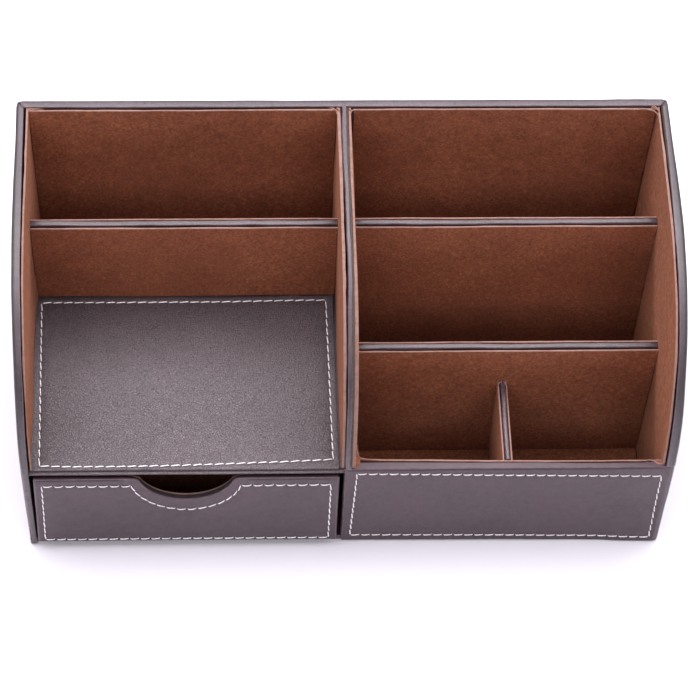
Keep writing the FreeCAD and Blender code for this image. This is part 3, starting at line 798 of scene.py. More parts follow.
def ring_loops(holes, offs=(-1.3, -0.62, 0.0, 0.62, 1.3), sub=4):
    """Closed loops of vertices along the stitch line, for the channel it sinks in."""
    n = len(holes)
    pts = []
    for i in range(n):
        a, b = holes[i], holes[(i + 1) % n]
        for k in range(sub):
            pts.append(a + (b - a) * k / sub)
    pts = np.array(pts)
    return [offset(pts, o) for o in offs]


def sink(holes, depth=0.16, hole=0.30):
    nxt = np.roll(holes, -1, 0)

    def f(u, v):
        p = np.stack([u, v], 1)
        d = seg_dist(p, holes, nxt)
        h = seg_dist(p, holes, holes + 1e-6)
        return depth * bump(d, 0.55) + hole * bump(h, 0.62) - 0.07 * bump(d - 1.6, 0.8)
    return f


def stitches(geo, holes, fmap, seed, width=0.26, height=0.23, slant=0.18, sag=0.0):
    """One thread loop per pair of holes, dipping into the leather at each end."""
    rng = np.random.RandomState(seed)
    n = len(holes)
    ring, rows = 8, 13
    for i in range(n):
        a, b = holes[i], holes[(i + 1) % n]
        d = b - a
        length = float(np.hypot(*d))
        d = d / length
        side = np.array([-d[1], d[0]])
        t = np.linspace(0.07 + 0.025 * rng.rand(), 0.93 - 0.025 * rng.rand(), rows)
        e = (2 * t - 1) / 0.88
        lift = 0.17 + 0.05 * rng.rand() - 0.55 * np.abs(e) ** 9
        sl = slant * (0.75 + 0.5 * rng.rand())
        lat = sl * np.sin(e * math.pi / 2) + 0.05 * (rng.rand() - 0.5)
        if abs(d[0]) > 0.97:
            lat = lat + (sag if d[0] < 0 else -0.3 * sag) * (0.8 + 0.4 * rng.rand()) * (0.55 - e ** 2)
        ctr = a[None] + d[None] * (t * length)[:, None] + side[None] * lat[:, None]
        taper = np.clip(1.08 - 0.55 * np.abs(e) ** 6, 0.35, 1.1)
        wd = width * (0.93 + 0.14 * rng.rand())
        pts = []
        for k in range(rows):
            for j in range(ring):
                ang = 2 * math.pi * j / ring
                tw = 1 + 0.13 * math.cos(2 * (ang - 2 * math.pi * 1.6 * t[k]))
                o = side * math.cos(ang) * wd * taper[k] * tw
                p = ctr[k] + o
                pts.append((p[0], p[1], -(lift[k] + height * math.sin(ang) * taper[k] * tw)))
        pts = np.array(pts)
        x, y, z = fmap(pts[:, 0], pts[:, 1], pts[:, 2])
        faces = []
        for k in range(rows - 1):
            for j in range(ring):
                m = (j + 1) % ring
                faces.append((k * ring + j, k * ring + m, (k + 1) * ring + m, (k + 1) * ring + j))
        faces.append(tuple(range(ring - 1, -1, -1)))
        faces.append(tuple((rows - 1) * ring + j for j in range(ring)))
        geo.add(np.stack([x, y, z], 1), faces)


# ---------------------------------------------------------------- front panel
def front_map(u, v, w):
    s = HW - u
    al, dp = corner(s, np.maximum(w, 0.0))
    dp = dp + np.minimum(w, 0.0)
    near = s < 20.0
    al = np.where(near, al, s)
    dp = np.where(near, dp, w)
    k = np.clip((u - CL) / 140.0, 0.0, 1.0)
    x = HW - al * (1 + (CT - 1) * k) + (v - H) * ST * k
    z = H + (v - H) * (1 + (CT - 1) * k)
    return x, dp + YO, z


FRONT_RING = ring_holes([[(3.0, 6.2), (160.9, 4.8)], [(160.9, 4.8), (160.3, 60.2)], [(160.3, 60.2), (4.7, 64.4)], [(4.7, 64.4), (3.0, 6.2)]])


def front_panel():
    geo = Geo()
    loop = np.concatenate([
        line((CL, ZB), (HW, ZB), 5.0, dense=[-s for s in NEAR]),
        line((HW, ZB), (HW, HF), 4.0, dense=(-0.6, -1.2, -1.8, -2.5)),
        line((HW, HF), (CL, HF), 2.5, dense=NEAR + [-0.6, -1.2, -1.8, -2.6]),
        line((CL, HF), (CL, ZB), 4.0)])
    u, v = loop[:, 0], loop[:, 1]
    r = np.full(len(loop), 0.75)
    r = np.where((u < CL + 1e-6) & (v < HF - 1e-6), 1.2, r)
    r = np.where((u > HW - 1e-6) & (v < HF - 1e-6), 0.12, r)
    r = np.where(v < ZB + 1e-6, 0.7, r)
    rb = np.where((u < CL + 1e-6) | (v < ZB + 1e-6), 0.15, np.where(v > HF - 1e-6, 0.7, r))
    deep = sink(FRONT_RING)

    def fm(u, v, w):
        x, y, z = front_map(u, v, w)
        s = HW - u
        al, dp = corner(s, np.maximum(w, 0))
        dip = 0.25 * bump(al - dp, 0.42) * (s < 20) * sstep(v, HF - 3, HF - 1) * sstep(dp, 0.4, 1.2)
        y = y - 0.10 * noise3(u, v, 0, 26, 51) * np.where(w < 2, 1, 0) * sstep(s, 3, 12) * sstep(u, 2, 10)
        lap = 2.7 + 0.25 * noise3(0, v, 0, 17, 53)
        y = y - 0.32 * (1 - sstep(s, lap, lap + 0.4)) * sstep(s, 0.9, 2.0) * (w < 2) * sstep(v, 1.5, 3.5) * (1 - sstep(v, HF - 4, HF - 2))
        z = z - dip + 0.12 * noise3(u, v, w, 15, 52) * sstep(v, 62, 67) * sstep(s, 3, 10)
        fold = bump(v - (HF - 0.85 + 0.12 * noise3(u, 0, 0, 19, 54)), 0.42) * (w < 1) * sstep(s, 2.5, 4.5) * sstep(u, CL + 0.6, CL + 2)
        y = y + 0.42 * fold
        y = y + np.clip(w / WALL, 0, 1) ** 2 * sstep(v, HF - 14, HF - 1) * np.interp(u, [2, 5, 30, 66, 95, 118, 150, 158], [0.0, 0.75, 0.65, 0.15, 0.0, -0.75, -0.75, 0.0])
        low = 1 - sstep(v, 0, 45)
        y = y - low * np.interp(u, [5, 31, 57, 83, 96, 109, 122, 135, 148, 160], [-0.6, -0.5, -0.3, -0.15, -0.1, 0.05, 0.2, 0.55, 1.3, 1.5])
        z = z + 0.5 * (1 - sstep(v, 0, 12)) * (1 - sstep(u, 85, 120))
        x = x + swell_x(1, 0.0, np.minimum(s, WALL)) * sstep(u, 130, 160) + swell_low(v) * sstep(u, 140, 162) * (1 - np.clip(s / WALL, 0, 1))
        # laps a little over the drawer side of the centre wall
        x = x - 0.8 * (1 - sstep(u, CL, CL + 6)) * sstep(v, 0.0, 1.0)
        return x, y, z
    xs = [HW - q for q in (S0 / 3, 2 * S0 / 3, S0, S0 + 1.2, 2.15, 2.5, 3.2)]
    slab(geo, loop, WALL, r, rb, fm, seg=6, spacing=5.0, loops=ring_loops(FRONT_RING), lines=uprights(xs, ZB + 3, HF - 3.4) + [line((CL + 1.8, HF - q), (HW - 3.6, HF - q), 3.0) for q in (1.15, 1.5, 1.85, 2.2)],
         back_spacing=9.0, support=0.3, deep=deep, back_lines=uprights([HW - S0 - 1.0], 6.0, HF - 6))
    flange(geo, [(CL, 1.6), (90, 1.2), (XO, 0.3), (XO - 10, 10), (CL, 10)], 43)
    place(geo.obj("front_panel_leather", FRONT_LEATHER), "case", "front_panel_cover")
    g = Geo()
    stitches(g, FRONT_RING, lambda u, v, w: fm(u, v, w + 0.0), 7, width=0.29, height=0.25, sag=0.3)
    place(g.obj("front_panel_stitches", THREAD, sharp=60), "case", "front_panel_stitching")


# ---------------------------------------------------------------- centre wall
def CREEP(u):
    """How far the centre wall's right face falls short at its rim."""
    return 0.55 + 0.35 * bump(u - 80, 80)


def CREEP_F(u):
    """Shift of the whole rim to the left near the front."""
    return 0.25 * (1 - sstep(u, 4, 70)) + 0.25 * (1 - sstep(u, 0, 14))


def centre_wall():
    geo = Geo()
    top = curve(0.0, 2.0)
    top = top[top[:, 1] > HF + 1.5]
    zl = 14.0
    yb = 164.3
    loop = np.concatenate([
        line((3.7, zl), (D - WALL - 0.3, zl), 6.0),
        line((D - WALL - 0.3, zl), (D - WALL - 0.3, H - 2.6), 8.0),
        np.array([(D - WALL + 0.3, H - 1.9), (yb - 0.8, H - 1.7), (yb, H - 0.9)]),
        np.array([(yb - 0.5, H + 0.05), (yb - 2, H + 0.12), (D - WALL - 1, H + 0.12)]),
        top[top[:, 0] < D - WALL - 3],
        np.array([(0.06, HF + 0.3), (0.28, HF - 1.2), (0.9, HF - 3.0), (3.7, HF - 3.4)])])
    y, z = loop[:, 0], loop[:, 1]
    rr = np.where(z < HF - 2.9, 0.3, 1.2)
    rr = np.where((y > D - WALL - 0.5) & (z < H), 0.25, rr)
    t = CR - CL

    def fm(u, v, w):
        x = CL + w
        # the rim wanders a little, as a hand-wrapped one does
        rim = sstep(v, 66, 72)
        x = x + (0.28 * noise3(u, 0, 0, 38, 61) + 0.14 * noise3(u, 0, 0, 14, 62)) * rim * (1 - sstep(u, 150, 158)) * sstep(u, 2, 12)
        x = x + 0.10 * noise3(u, v, 0, 11, 63) * np.where(w < t / 2, 1, -1) * rim
        x = x - (CREEP(u) + 0.40) * rim * np.clip(w / t, 0, 1) - CREEP_F(u) * rim - 0.45 * sstep(u, 95, 132) * rim * (1 - np.clip(w / t, 0, 1)) * (1 - sstep(u, 152, 160))
        yy = u + 0.06 * noise3(u, v, 7, 12, 64) * rim
        zz = v + 0.12 * noise3(u, v, 9, 13, 65) * rim
        return x, yy + YO, zz
    slab(geo, loop, t, rr, rr, fm, seg=6, spacing=8.0, support=0.3)
    place(geo.obj("centre_wall_leather", LEATHER), "case", "centre_wall_binding")


# ---------------------------------------------------------------- lining cards
def top_free(dist, seed, u, amp=1.0, base=0.75):
    """Gap between a lining card and the leather behind it, by distance below the
    card's top edge: open at the top, closed 7 mm down."""
    g = base + 0.20 * amp * noise3(u, 0, 0, 31, seed) + 0.12 * amp * noise3(u, 0, 0, 9, seed + 1)
    return np.clip(g, 0.25, 1.3) * (1 - sstep(dist, 0.5, 8.0))


def wavy(u, seed, amp=0.34):
    return amp * noise3(u, 0, 0, 27, seed) + 0.4 * amp * noise3(u, 0, 0, 8, seed + 1)


def lining_profile(y0, y1, zb, zs, front_y):
    """Outline of a lining card on a profiled wall: from zb up, its curved edge LIP
    inside the rim; below zs it stops at front_y, above at the curve."""
    top = curve(LIP, 1.6)
    top = top[(top[:, 0] < y1 - 1.0)]
    lo = top[:, 1] > zs + 0.4
    pts = [line((front_y, zb), (y1, zb), 6.0), line((y1, zb), (y1, H - LIP), 6.0), np.array([(y1, H - LIP)]), top[lo]]
    return pts


def wall_lining(name, node, place_at, y1, zb, front_y, zs, seed, thick, taper=0.0, creep=None, shade=None):
    """Card lining one profiled wall. place_at(depth, Y, z): depth 0 on the leather,
    thick on the face that shows."""
    geo = Geo()
    pts = lining_profile(0, y1, zb, zs, front_y)
    y_at = float(np.interp(-zs, -curve(LIP, 0.5)[:, 1], curve(LIP, 0.5)[:, 0]))
    if zb < zs - 1:
        pts.append(line((y_at, zs), (y_at + 0.5, zs - 0.8), 0.5))
        pts.append(line((front_y, zs - 1.2), (front_y, zb), 5.0))
    else:
        pts.append(np.array([(y_at, zs)]))
        pts.append(line((y_at + 0.6, zb), (front_y, zb), 5.0))
    loop = np.concatenate(pts)
    keep = [0]
    for i in range(1, len(loop)):
        if np.hypot(*(loop[i] - loop[keep[-1]])) > 0.05:
            keep.append(i)
    loop = loop[keep]
    if np.hypot(*(loop[-1] - loop[0])) < 0.05:
        loop = loop[:-1]
    ref = curve(LIP, 0.7)

    def fm(u, v, w):
        p = np.stack([u, v], 1)
        dist = seg_dist(p, ref[:-1], ref[1:])
        dist = np.where(v > H - LIP - 20, np.minimum(dist, np.abs(H - LIP - v)), dist)
        gap = top_free(dist, seed, u + v, 1.0, 0.60)
        depth = thick - w * (thick - gap) / thick
        # the face swells and sinks a little between its glued edges
        depth = depth + (0.30 * noise3(u, v, 0, 34, seed + 3)) * sstep(dist, 3, 16) * (w < thick / 2)
        near = 1 - sstep(dist, 0, 6)
        if creep is not None:
            depth = depth - creep(u) * (1 - sstep(dist, 0, 26))
            depth = depth - taper * sstep(u, 10, 110) * (1 - sstep(dist, 0, 22)) * np.clip(1 - w / thick, 0, 1)
            depth = depth - 0.40 * np.clip(w / thick, 0, 1) * (1 - sstep(dist, 0, 16))
        wv = wavy(u + 0.7 * v, seed + 5) * near
        # along the outline's own direction: up at the back, forwards at the front
        k = sstep(u, 6, 60)
        return place_at(depth, u - wv * (1 - k) * 0.8, v + wv * k)

    def tone(u, v, w, tn):
        p = np.stack([u, v], 1)
        dist = seg_dist(p, ref[:-1], ref[1:])
        dist = np.where(v > H - LIP - 20, np.minimum(dist, np.abs(H - LIP - v)), dist)
        k = np.clip(1.15 - dist / 0.55, 0, 1)
        # pale cut edge along the top; below it, painted shade from the shade callback
        return k if shade is None else np.where(k > 0, k, -shade(u, v) * sstep(dist, 0.6, 4))
    slab(geo, loop, thick, 0.42, 0.3, fm, seg=3, spacing=8.0 if shade is None else 5.0, back_spacing=14.0, support=0.6, tone=tone)
    return place(geo.obj(name, SIDE_SUEDE, sharp=50), "case", node)


def flat_lining(name, body, node, loop, place_at, thick, top, seed, gap_on=True, amp=1.0, spacing=8.0, curl=None):
    """Card lining a flat wall, outline loop (u, z), top edge at height top."""
    geo = Geo()

    def fm(u, v, w):
        dist = np.abs(top - v)
        gap = top_free(dist, seed, u, amp, thick - 0.92) if gap_on else np.zeros(len(u))
        gap = np.minimum(gap, thick - 0.5)
        depth = thick - w * (thick - gap) / thick
        depth = depth + 0.30 * noise3(u, v, 0, 34, seed + 3) * sstep(dist, 3, 16) * (w < thick / 2)
        wv = wavy(u, seed + 5, 0.30 * amp) * (1 - sstep(dist, 0, 6))
        if curl is not None:
            return place_at(depth, u, v + wv, curl(u, v))
        return place_at(depth, u, v + wv)

    u0, u1 = loop[:, 0].min(), loop[:, 0].max()

    def tone(u, v, w, tn):
        # pale cut edge on top; painted shade darkens the nap towards the corners
        k = np.clip(1.15 - (top - v) / 0.55, 0, 1)
        ends = np.minimum(u - u0, u1 - u)
        return np.where(k > 0, k, -0.42 * (1 - sstep(ends, 2, 30)) * sstep(top - v, 8, 42) * (u1 - u0 > 80))
    slab(geo, loop, thick, min(0.42, thick * 0.3), min(0.3, thick * 0.25), fm, seg=3, spacing=spacing, back_spacing=14.0, support=0.6, tone=tone)
    return place(geo.obj(name, SUEDE, sharp=50), body, node)


def at_lean(inset, side, z):
    """x of the plane parallel to a side wall, inset from its outer face."""
    return side * (HW - inset / CT - math.tan(LEAN) * (H - z))


def linings():
    # upright profiled walls
    def right(depth, y, z):
        x, zz = lean_xz(1, WALL + depth, z)
        return x + 0.48 * near_rim(y, zz), y + YO, zz

    def left(depth, y, z):
        x, zz = lean_xz(-1, WALL + depth, z)
        return x + np.interp(y, [0, 45, 90], [0.25, 0.2, 0.0]), y + YO, zz
    def pocket_shadow(y, z):
        # painted shadow: the wall is darkened below the lines where the partitions' shadows fall, less so far below
        # them, and more towards the front
        deep = np.where(y < 57, np.interp(y, [0, 16, 24, 32, 40, 48, 57], [38, 50.6, 57, 63.2, 69.5, 75.8, 83]),
                        np.interp(y, [57, 68, 104, 111, 112, 120], [74, 82.7, 111, 116, 60, 60]))
        return np.clip(0.9 * (1 - sstep(z - deep, -3.0, 1.5)) * (1 - 0.45 * sstep(deep - z, 12, 40)) + 0.42 * (1 - sstep(y, 10, 48)), 0, 1)
    wall_lining("right_side_suede", "right_side_liner", right, 161.0, 3.6, WALL + 0.1, HF, 101, LINED - WALL, shade=pocket_shadow)
    wall_lining("centre_wall_right_suede", "centre_wall_liner_right", lambda d, y, z: (CR + d, y + YO, z), 161.0, 3.6, WALL + 0.1, HF, 121, CRL - CR,
                taper=0.85, creep=lambda u: CREEP(u) + CREEP_F(u))

    # left bay: above the deck in front, full height in the rear slot
    def stepped(place_at, name, node, seed, thick, left_side=False):
        geo = Geo()
        top = curve(LIP, 1.6)
        y1 = 161.0
        top = top[top[:, 0] < y1 - 1.0]
        y_at = float(np.interp(-(HF + 0.1), -top[:, 1], top[:, 0]))
        yr = 110.6
        loop = np.concatenate([
            line((yr, 3.6), (y1, 3.6), 6.0), line((y1, 3.6), (y1, H - LIP), 6.0), np.array([(y1, H - LIP)]),
            top[top[:, 1] > HF + 0.6], line((y_at, HF + 0.1), (yr, HF + 0.1), 5.0), line((yr, HF + 0.1), (yr, 3.6), 6.0)])
        ref = curve(LIP, 0.7)

        def near_top(u, v):
            p = np.stack([u, v], 1)
            dist = seg_dist(p, ref[:-1], ref[1:])
            return np.where(v > H - LIP - 20, np.minimum(dist, np.abs(H - LIP - v)), dist)

        def fm(u, v, w):
            dist = near_top(u, v)
            gap = top_free(dist, seed, u + v)
            depth = thick - w * (thick - gap) / thick
            depth = depth + 0.30 * noise3(u, v, 0, 34, seed + 3) * sstep(dist, 3, 16) * (w < thick / 2)
            depth = depth * (0.82 + 0.18 * sstep(u, -4, 26))
            if left_side:
                depth = depth - (0.75 * (1 - sstep(v, 96, 122)) + 0.1) * (w < thick / 2) * (u < 105) * sstep(u, 0, 12)
            wv = wavy(u + 0.7 * v, seed + 5) * (1 - sstep(dist, 0, 6)) * sstep(v, HF, HF + 3)
            k = sstep(u, 6, 60)
            return place_at(depth, u - wv * (1 - k) * 0.8, v + wv * k)

        def tone(u, v, w, tn):
            k = np.clip(1.15 - near_top(u, v) / 0.55, 0, 1)
            # painted shade: below the pale top edge the card is a little darker all over and darker still low down
            return np.where(k > 0, k, -0.30 * (1 - sstep(v, 66, 120)) - 0.12)
        slab(geo, loop, thick, 0.42, 0.3, fm, seg=3, spacing=8.0, back_spacing=14.0, support=0.6, tone=tone)
        place(geo.obj(name, SIDE_SUEDE, sharp=50), "case", node)
    stepped(left, "left_side_suede", "left_side_liner", 141, LINED - WALL, True)
    stepped(lambda d, y, z: (CL - d, y + YO, z), "centre_wall_left_suede", "centre_wall_liner_left", 161, CL - CLL)

    # back wall
    def span(x0, x1, z0, z1):
        """Outline between two upright planes given as functions of z."""
        a = line((x0(z0), z0), (x1(z0), z0), 6.0)
        b = line((x1(z0), z0), (x1(z1), z1), 6.0)
        c = line((x1(z1), z1), (x0(z1), z1), 2.5)
        d = line((x0(z1), z1), (x0(z0), z0), 6.0)
        return np.concatenate([a, b, c, d])
    wl = lambda z: at_lean(LINED, -1, z) + 0.03
    wr = lambda z: at_lean(LINED, 1, z) - 0.03
    cl = lambda z: CLL - 0.03
    cr = lambda z: CRL + 0.03
    back = lambda d, u, z: (u, D - WALL - d + YO, z)
    flat_lining("back_left_suede", "case", "back_liner_left", span(wl, cl, 3.6, H - LIP), back, LINED - WALL, H - LIP, 181)
    flat_lining("back_right_suede", "case", "back_liner_right", span(cr, wr, 3.6, H - LIP), back, LINED - WALL, H - LIP, 201)
    def front(d, u, z):
        k = 1 - sstep(HF - LIP - z, 1, 30)
        return u, WALL + d + YO + k * np.interp(u, [5, 8, 18, 28, 41, 53, 66, 91, 126, 149, 158], [1.9, 1.8, 1.5, 1.3, 1.05, 0.55, 0.2, 0.0, -0.4, -0.2, 0.0]), z
    flat_lining("front_panel_suede", "case", "front_panel_liner", span(cr, wr, 3.6, HF - LIP), front, LINED - WALL, HF - LIP, 221, amp=0.8)

    # partitions
    for tag, x0, x1, yc, zt, zf, seed in (("rear_partition_left", wl, cl, 111.5, 126.0, HF + 0.1, 241), ("rear_partition_right", cr, wr, 111.5, 126.0, 3.6, 261),
                                          ("front_partition", cr, wr, 57.0, 94.0, 3.6, 281)):
        hw = 1.7
        f = lambda d, u, z, yc=yc, hw=hw: (u, yc - hw - d + YO, z)
        r = lambda d, u, z, yc=yc, hw=hw: (u, yc + hw + d + YO, z)
        flat_lining(tag + "_front_suede", "case", tag + "_front_liner", span(x0, x1, zf, zt - 0.75), f, 1.3, zt - 0.75, seed, amp=0.8)
        flat_lining(tag + "_rear_suede", "case", tag + "_rear_liner", span(x0, x1, 3.6, zt - 0.1), r, 1.3, zt - 0.1, seed + 10, amp=0.6)
    kl = 80.4 - 1.3
    kr = 80.4 + 1.3
    for tag, sgn, x, seed in (("left", -1, kl, 301), ("right", 1, kr, 311)):
        loop = rect(5.9, 53.9, 3.6, HF - LIP, 0, 4.0)
        flat_lining("pocket_divider_%s_suede" % tag, "case", "pocket_divider_liner_" + tag, loop,
                    lambda d, u, z, sgn=sgn, x=x: (x + sgn * d, u + YO, z), 1.2, HF - LIP, seed, amp=0.7, spacing=7.0)

    # floors
    for node in ("floor_liner_left_rear", "floor_liner_right_rear", "floor_liner_right_middle", "floor_liner_pocket_left", "floor_liner_pocket_right"):
        lo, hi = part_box(node)
        geo = Geo()
        x0, x1 = lo.x * 1000 + 0.1, hi.x * 1000 - 0.1
        y0, y1 = lo.y * 1000 - YO + 0.1, hi.y * 1000 - YO - 0.1
        sd = 400 + len(node) * 7 + int(abs(x0))

        def fm(u, v, w, sd=sd):
            z = 3.4 + w
            z = z + 0.22 * noise3(u, v, 0, 22, sd) * (w > 0.6)
            return u, v + YO, z
        loop = rect(x0, x1, y0, y1, 0.8, 6.0, 2)
        # painted shade: the floor cards are darkened all over, standing in for the shade at the bottom of the bays
        slab(geo, loop, 1.2, 0.15, 0.5, fm, seg=3, spacing=14.0, back_spacing=7.0, support=0.6, tone=lambda u, v, w, tn: np.full(len(u), -0.5))
        place(geo.obj(node.replace("liner", "suede"), SUEDE, sharp=50), "case", node)


# ---------------------------------------------------------------- folded corners of the suede
def tuck(geo, pts, rad, seed, flat=0.75, tone=0.8):
    """A small rolled fold of suede along a 3-D polyline (x, Y, z), tapering at both
    ends, a little lumpy."""
    pts = np.asarray(pts, float)
    s = np.concatenate([[0], np.cumsum(np.linalg.norm(np.diff(pts, axis=0), axis=1))])
    n = max(10, int(s[-1] / 0.35))
    q = np.linspace(0, s[-1], n)
    c = np.stack([np.interp(q, s, pts[:, k]) for k in range(3)], 1)
    for _ in range(3):
        c[1:-1] = (c[:-2] + 2 * c[1:-1] + c[2:]) / 4
    d = np.gradient(c, axis=0)
    d /= np.linalg.norm(d, axis=1)[:, None]
    up = np.array([0.0, 0.0, 1.0])
    side = np.cross(d, up)
    side /= np.linalg.norm(side, axis=1)[:, None]
    nrm = np.cross(side, d)
    f = q / s[-1]
    r = rad * (0.25 + 0.75 * np.sin(np.clip(f, 0, 1) * math.pi) ** 0.6) * (1 + 0.22 * noise3(q, 0, 0, 2.2, seed))
    ring = 10
    v = []
    for k in range(n):
        for j in range(ring):
            a = 2 * math.pi * j / ring
            v.append(c[k] + side[k] * math.cos(a) * r[k] + nrm[k] * math.sin(a) * r[k] * flat)
    v = np.array(v)
    v[:, 1] += YO
    faces = []
    for k in range(n - 1):
        for j in range(ring):
            m = (j + 1) % ring
            faces.append((k * ring + j, (k + 1) * ring + j, (k + 1) * ring + m, k * ring + m))
    faces.append(tuple(range(ring)))
    faces.append(tuple((n - 1) * ring + j for j in range(ring - 1, -1, -1)))
    geo.add(v, faces, np.full(len(v), tone))


def patch(geo, pts, z, t, seed, tone=0.5):
    """A small flat tongue of suede, outline (x, Y), top at z."""
    loop = np.concatenate([line(p, q, 0.8) for p, q in zip(pts, pts[1:] + pts[:1])])
    for _ in range(2):
        loop = (np.roll(loop, 1, 0) + 2 * loop + np.roll(loop, -1, 0)) / 4
    slab(geo, loop, t, min(0.3, t * 0.4), 0.12, lambda u, v, w: (u, v + YO, z - w + 0.12 * noise3(u, v, 0, 3.5, seed)),
         seg=3, spacing=1.2, support=0.0, tone=lambda u, v, w, tn: np.clip(tone + 0.5 * tn, -1, 1))


def tucks():
    geo = Geo()
    # back left: two layers meet in a rounded corner, one folded over the other
    tuck(geo, [(-159.6, 155.7, 156.6), (-159.5, 158.9, 157.0), (-158.7, 160.6, 157.0), (-157.1, 161.1, 157.0), (-154.8, 160.5, 157.0), (-151.3, 160.7, 156.6)], 0.45, 811)
    tuck(geo, [(-158.7, 159.7, 157.1), (-157.7, 160.7, 157.1), (-156.6, 160.0, 157.1), (-155.3, 159.5, 157.1)], 0.32, 812)
    place(geo.obj("fold_back_left_suede", SUEDE, sharp=60), "case")
    geo = Geo()
    # back right
    tuck(geo, [(148.6, 160.2, 156.6), (153.6, 159.3, 157.0), (156.6, 158.5, 157.0), (158.5, 157.1, 157.0), (159.6, 155.3, 156.6)], 0.42, 821)
    tuck(geo, [(156.1, 159.2, 157.2), (157.2, 160.7, 157.7), (158.4, 160.5, 157.8), (159.3, 158.8, 157.5), (160.3, 157.1, 156.9)], 0.40, 822)
    tuck(geo, [(157.0, 159.5, 157.4), (158.1, 160.0, 157.4), (158.6, 158.9, 157.4)], 0.32, 823)
    place(geo.obj("fold_back_right_suede", SUEDE, sharp=60), "case")
    geo = Geo()
    # back corners beside the centre wall
    tuck(geo, [(-8.6, 161.2, 156.6), (-5.6, 160.5, 157.0), (-4.0, 159.1, 157.0), (-3.6, 157.0, 156.6)], 0.38, 831)
    tuck(geo, [(-3.9, 160.5, 157.2), (-3.0, 160.0, 157.5), (-2.5, 158.5, 157.1)], 0.48, 832)
    tuck(geo, [(3.3, 156.3, 156.6), (3.4, 158.2, 157.0), (4.2, 159.1, 157.0), (6.0, 159.4, 157.0), (9.6, 159.9, 156.6)], 0.36, 841)
    tuck(geo, [(2.4, 159.6, 157.2), (3.2, 159.3, 157.5), (3.7, 158.5, 157.1)], 0.42, 842)
    place(geo.obj("fold_back_centre_suede", SUEDE, sharp=60), "case")

    geo = Geo()
    # front of the right bays: rounded corners, tongues pushed out through the mitres
    tuck(geo, [(161.5, 9.2, 72.5), (161.2, 7.1, 69.8), (160.4, 4.8, 68.4), (158.5, 2.8, 68.0), (156.5, 1.9, 68.0), (155.2, 2.8, 68.0), (153.8, 4.4, 67.7), (150.6, 5.2, 67.0)], 0.62, 851)
    tuck(geo, [(154.5, 3.6, 67.9), (156.0, 4.8, 67.9), (157.6, 4.0, 67.9)], 0.45, 852)
    patch(geo, [(153.8, 4.2), (154.6, 2.5), (156.4, 1.6), (158.4, 2.5), (159.9, 4.8), (157.0, 5.2)], 67.9, 0.7, 853, 0.2)
    tuck(geo, [(4.9, 12.6, 71.5), (4.8, 10.2, 69.2), (5.2, 8.1, 68.2), (6.6, 6.9, 67.8), (9.1, 6.7, 67.4), (14.1, 6.5, 66.9)], 0.42, 861)
    # painted shade: this tongue gets a slightly negative value, darkening its lit top
    patch(geo, [(2.9, 8.9), (2.8, 4.1), (3.9, 1.5), (4.7, 0.3), (5.2, 2.2), (5.9, 4.2), (6.3, 5.6), (5.7, 6.7), (4.9, 8.0), (4.7, 10.1)], 68.1, 0.6, 862, -0.1)
    place(geo.obj("fold_front_right_suede", SUEDE, sharp=60), "case")

    geo = Geo()
    # ends of the low divider
    tuck(geo, [(78.2, 51.2, 66.9), (79.0, 52.9, 67.4), (80.3, 53.4, 67.7), (81.7, 53.0, 67.4), (82.5, 51.1, 66.9)], 0.42, 871)
    place(geo.obj("fold_divider_suede", SUEDE, sharp=60), "case")


# ---------------------------------------------------------------- partition rims
def partition_leather(name, node, x0, x1, yc, zt, hw, turn, seed, r=1.15):
    geo = Geo()
    z0 = zt - turn
    loop = np.concatenate([line((x0(z0), z0), (x1(z0), z0), 5.0), line((x1(z0), z0), (x1(zt), zt), 3.0),
                           line((x1(zt), zt), (x0(zt), zt), 2.2), line((x0(zt), zt), (x0(z0), z0), 3.0)])
    v = loop[:, 1]
    ends = (np.abs(loop[:, 0] - np.array([x0(z) for z in v])) < 1e-6) | (np.abs(loop[:, 0] - np.array([x1(z) for z in v])) < 1e-6)
    rr = np.where(ends & (v < zt - 0.01), 0.15, r)
    rr = np.where(v < z0 + 1e-6, 0.2, rr)

    def fm(u, v, w):
        y = yc - hw + w
        top = sstep(v, zt - 8, zt - 1)
        y = y + 0.5 * top * np.clip(1 - w / (2 * hw), 0, 1)
        y = y + (0.16 * noise3(u, 0, 0, 30, seed) + 0.08 * noise3(u, 0, 0, 10, seed + 1)) * top
        y = y + 0.09 * noise3(u, v, 0, 9, seed + 2) * np.where(w < hw, 1, -1) * top
        z = v + (0.14 * noise3(u, 0, 0, 21, seed + 3) + 0.05 * noise3(u, v, 0, 6, seed + 4)) * top
        end = np.minimum(u - x0(zt), x1(zt) - u)
        z = z - 0.45 * top * (1 - sstep(end, 0.0, 3.2)) + 0.18 * top * bump(end - 4.2, 2.2)
        return u, y + YO, z
    slab(geo, loop, 2 * hw, rr, rr, fm, seg=6, spacing=6.0, support=0.3)
    return place(geo.obj(name, LEATHER), "case", node)


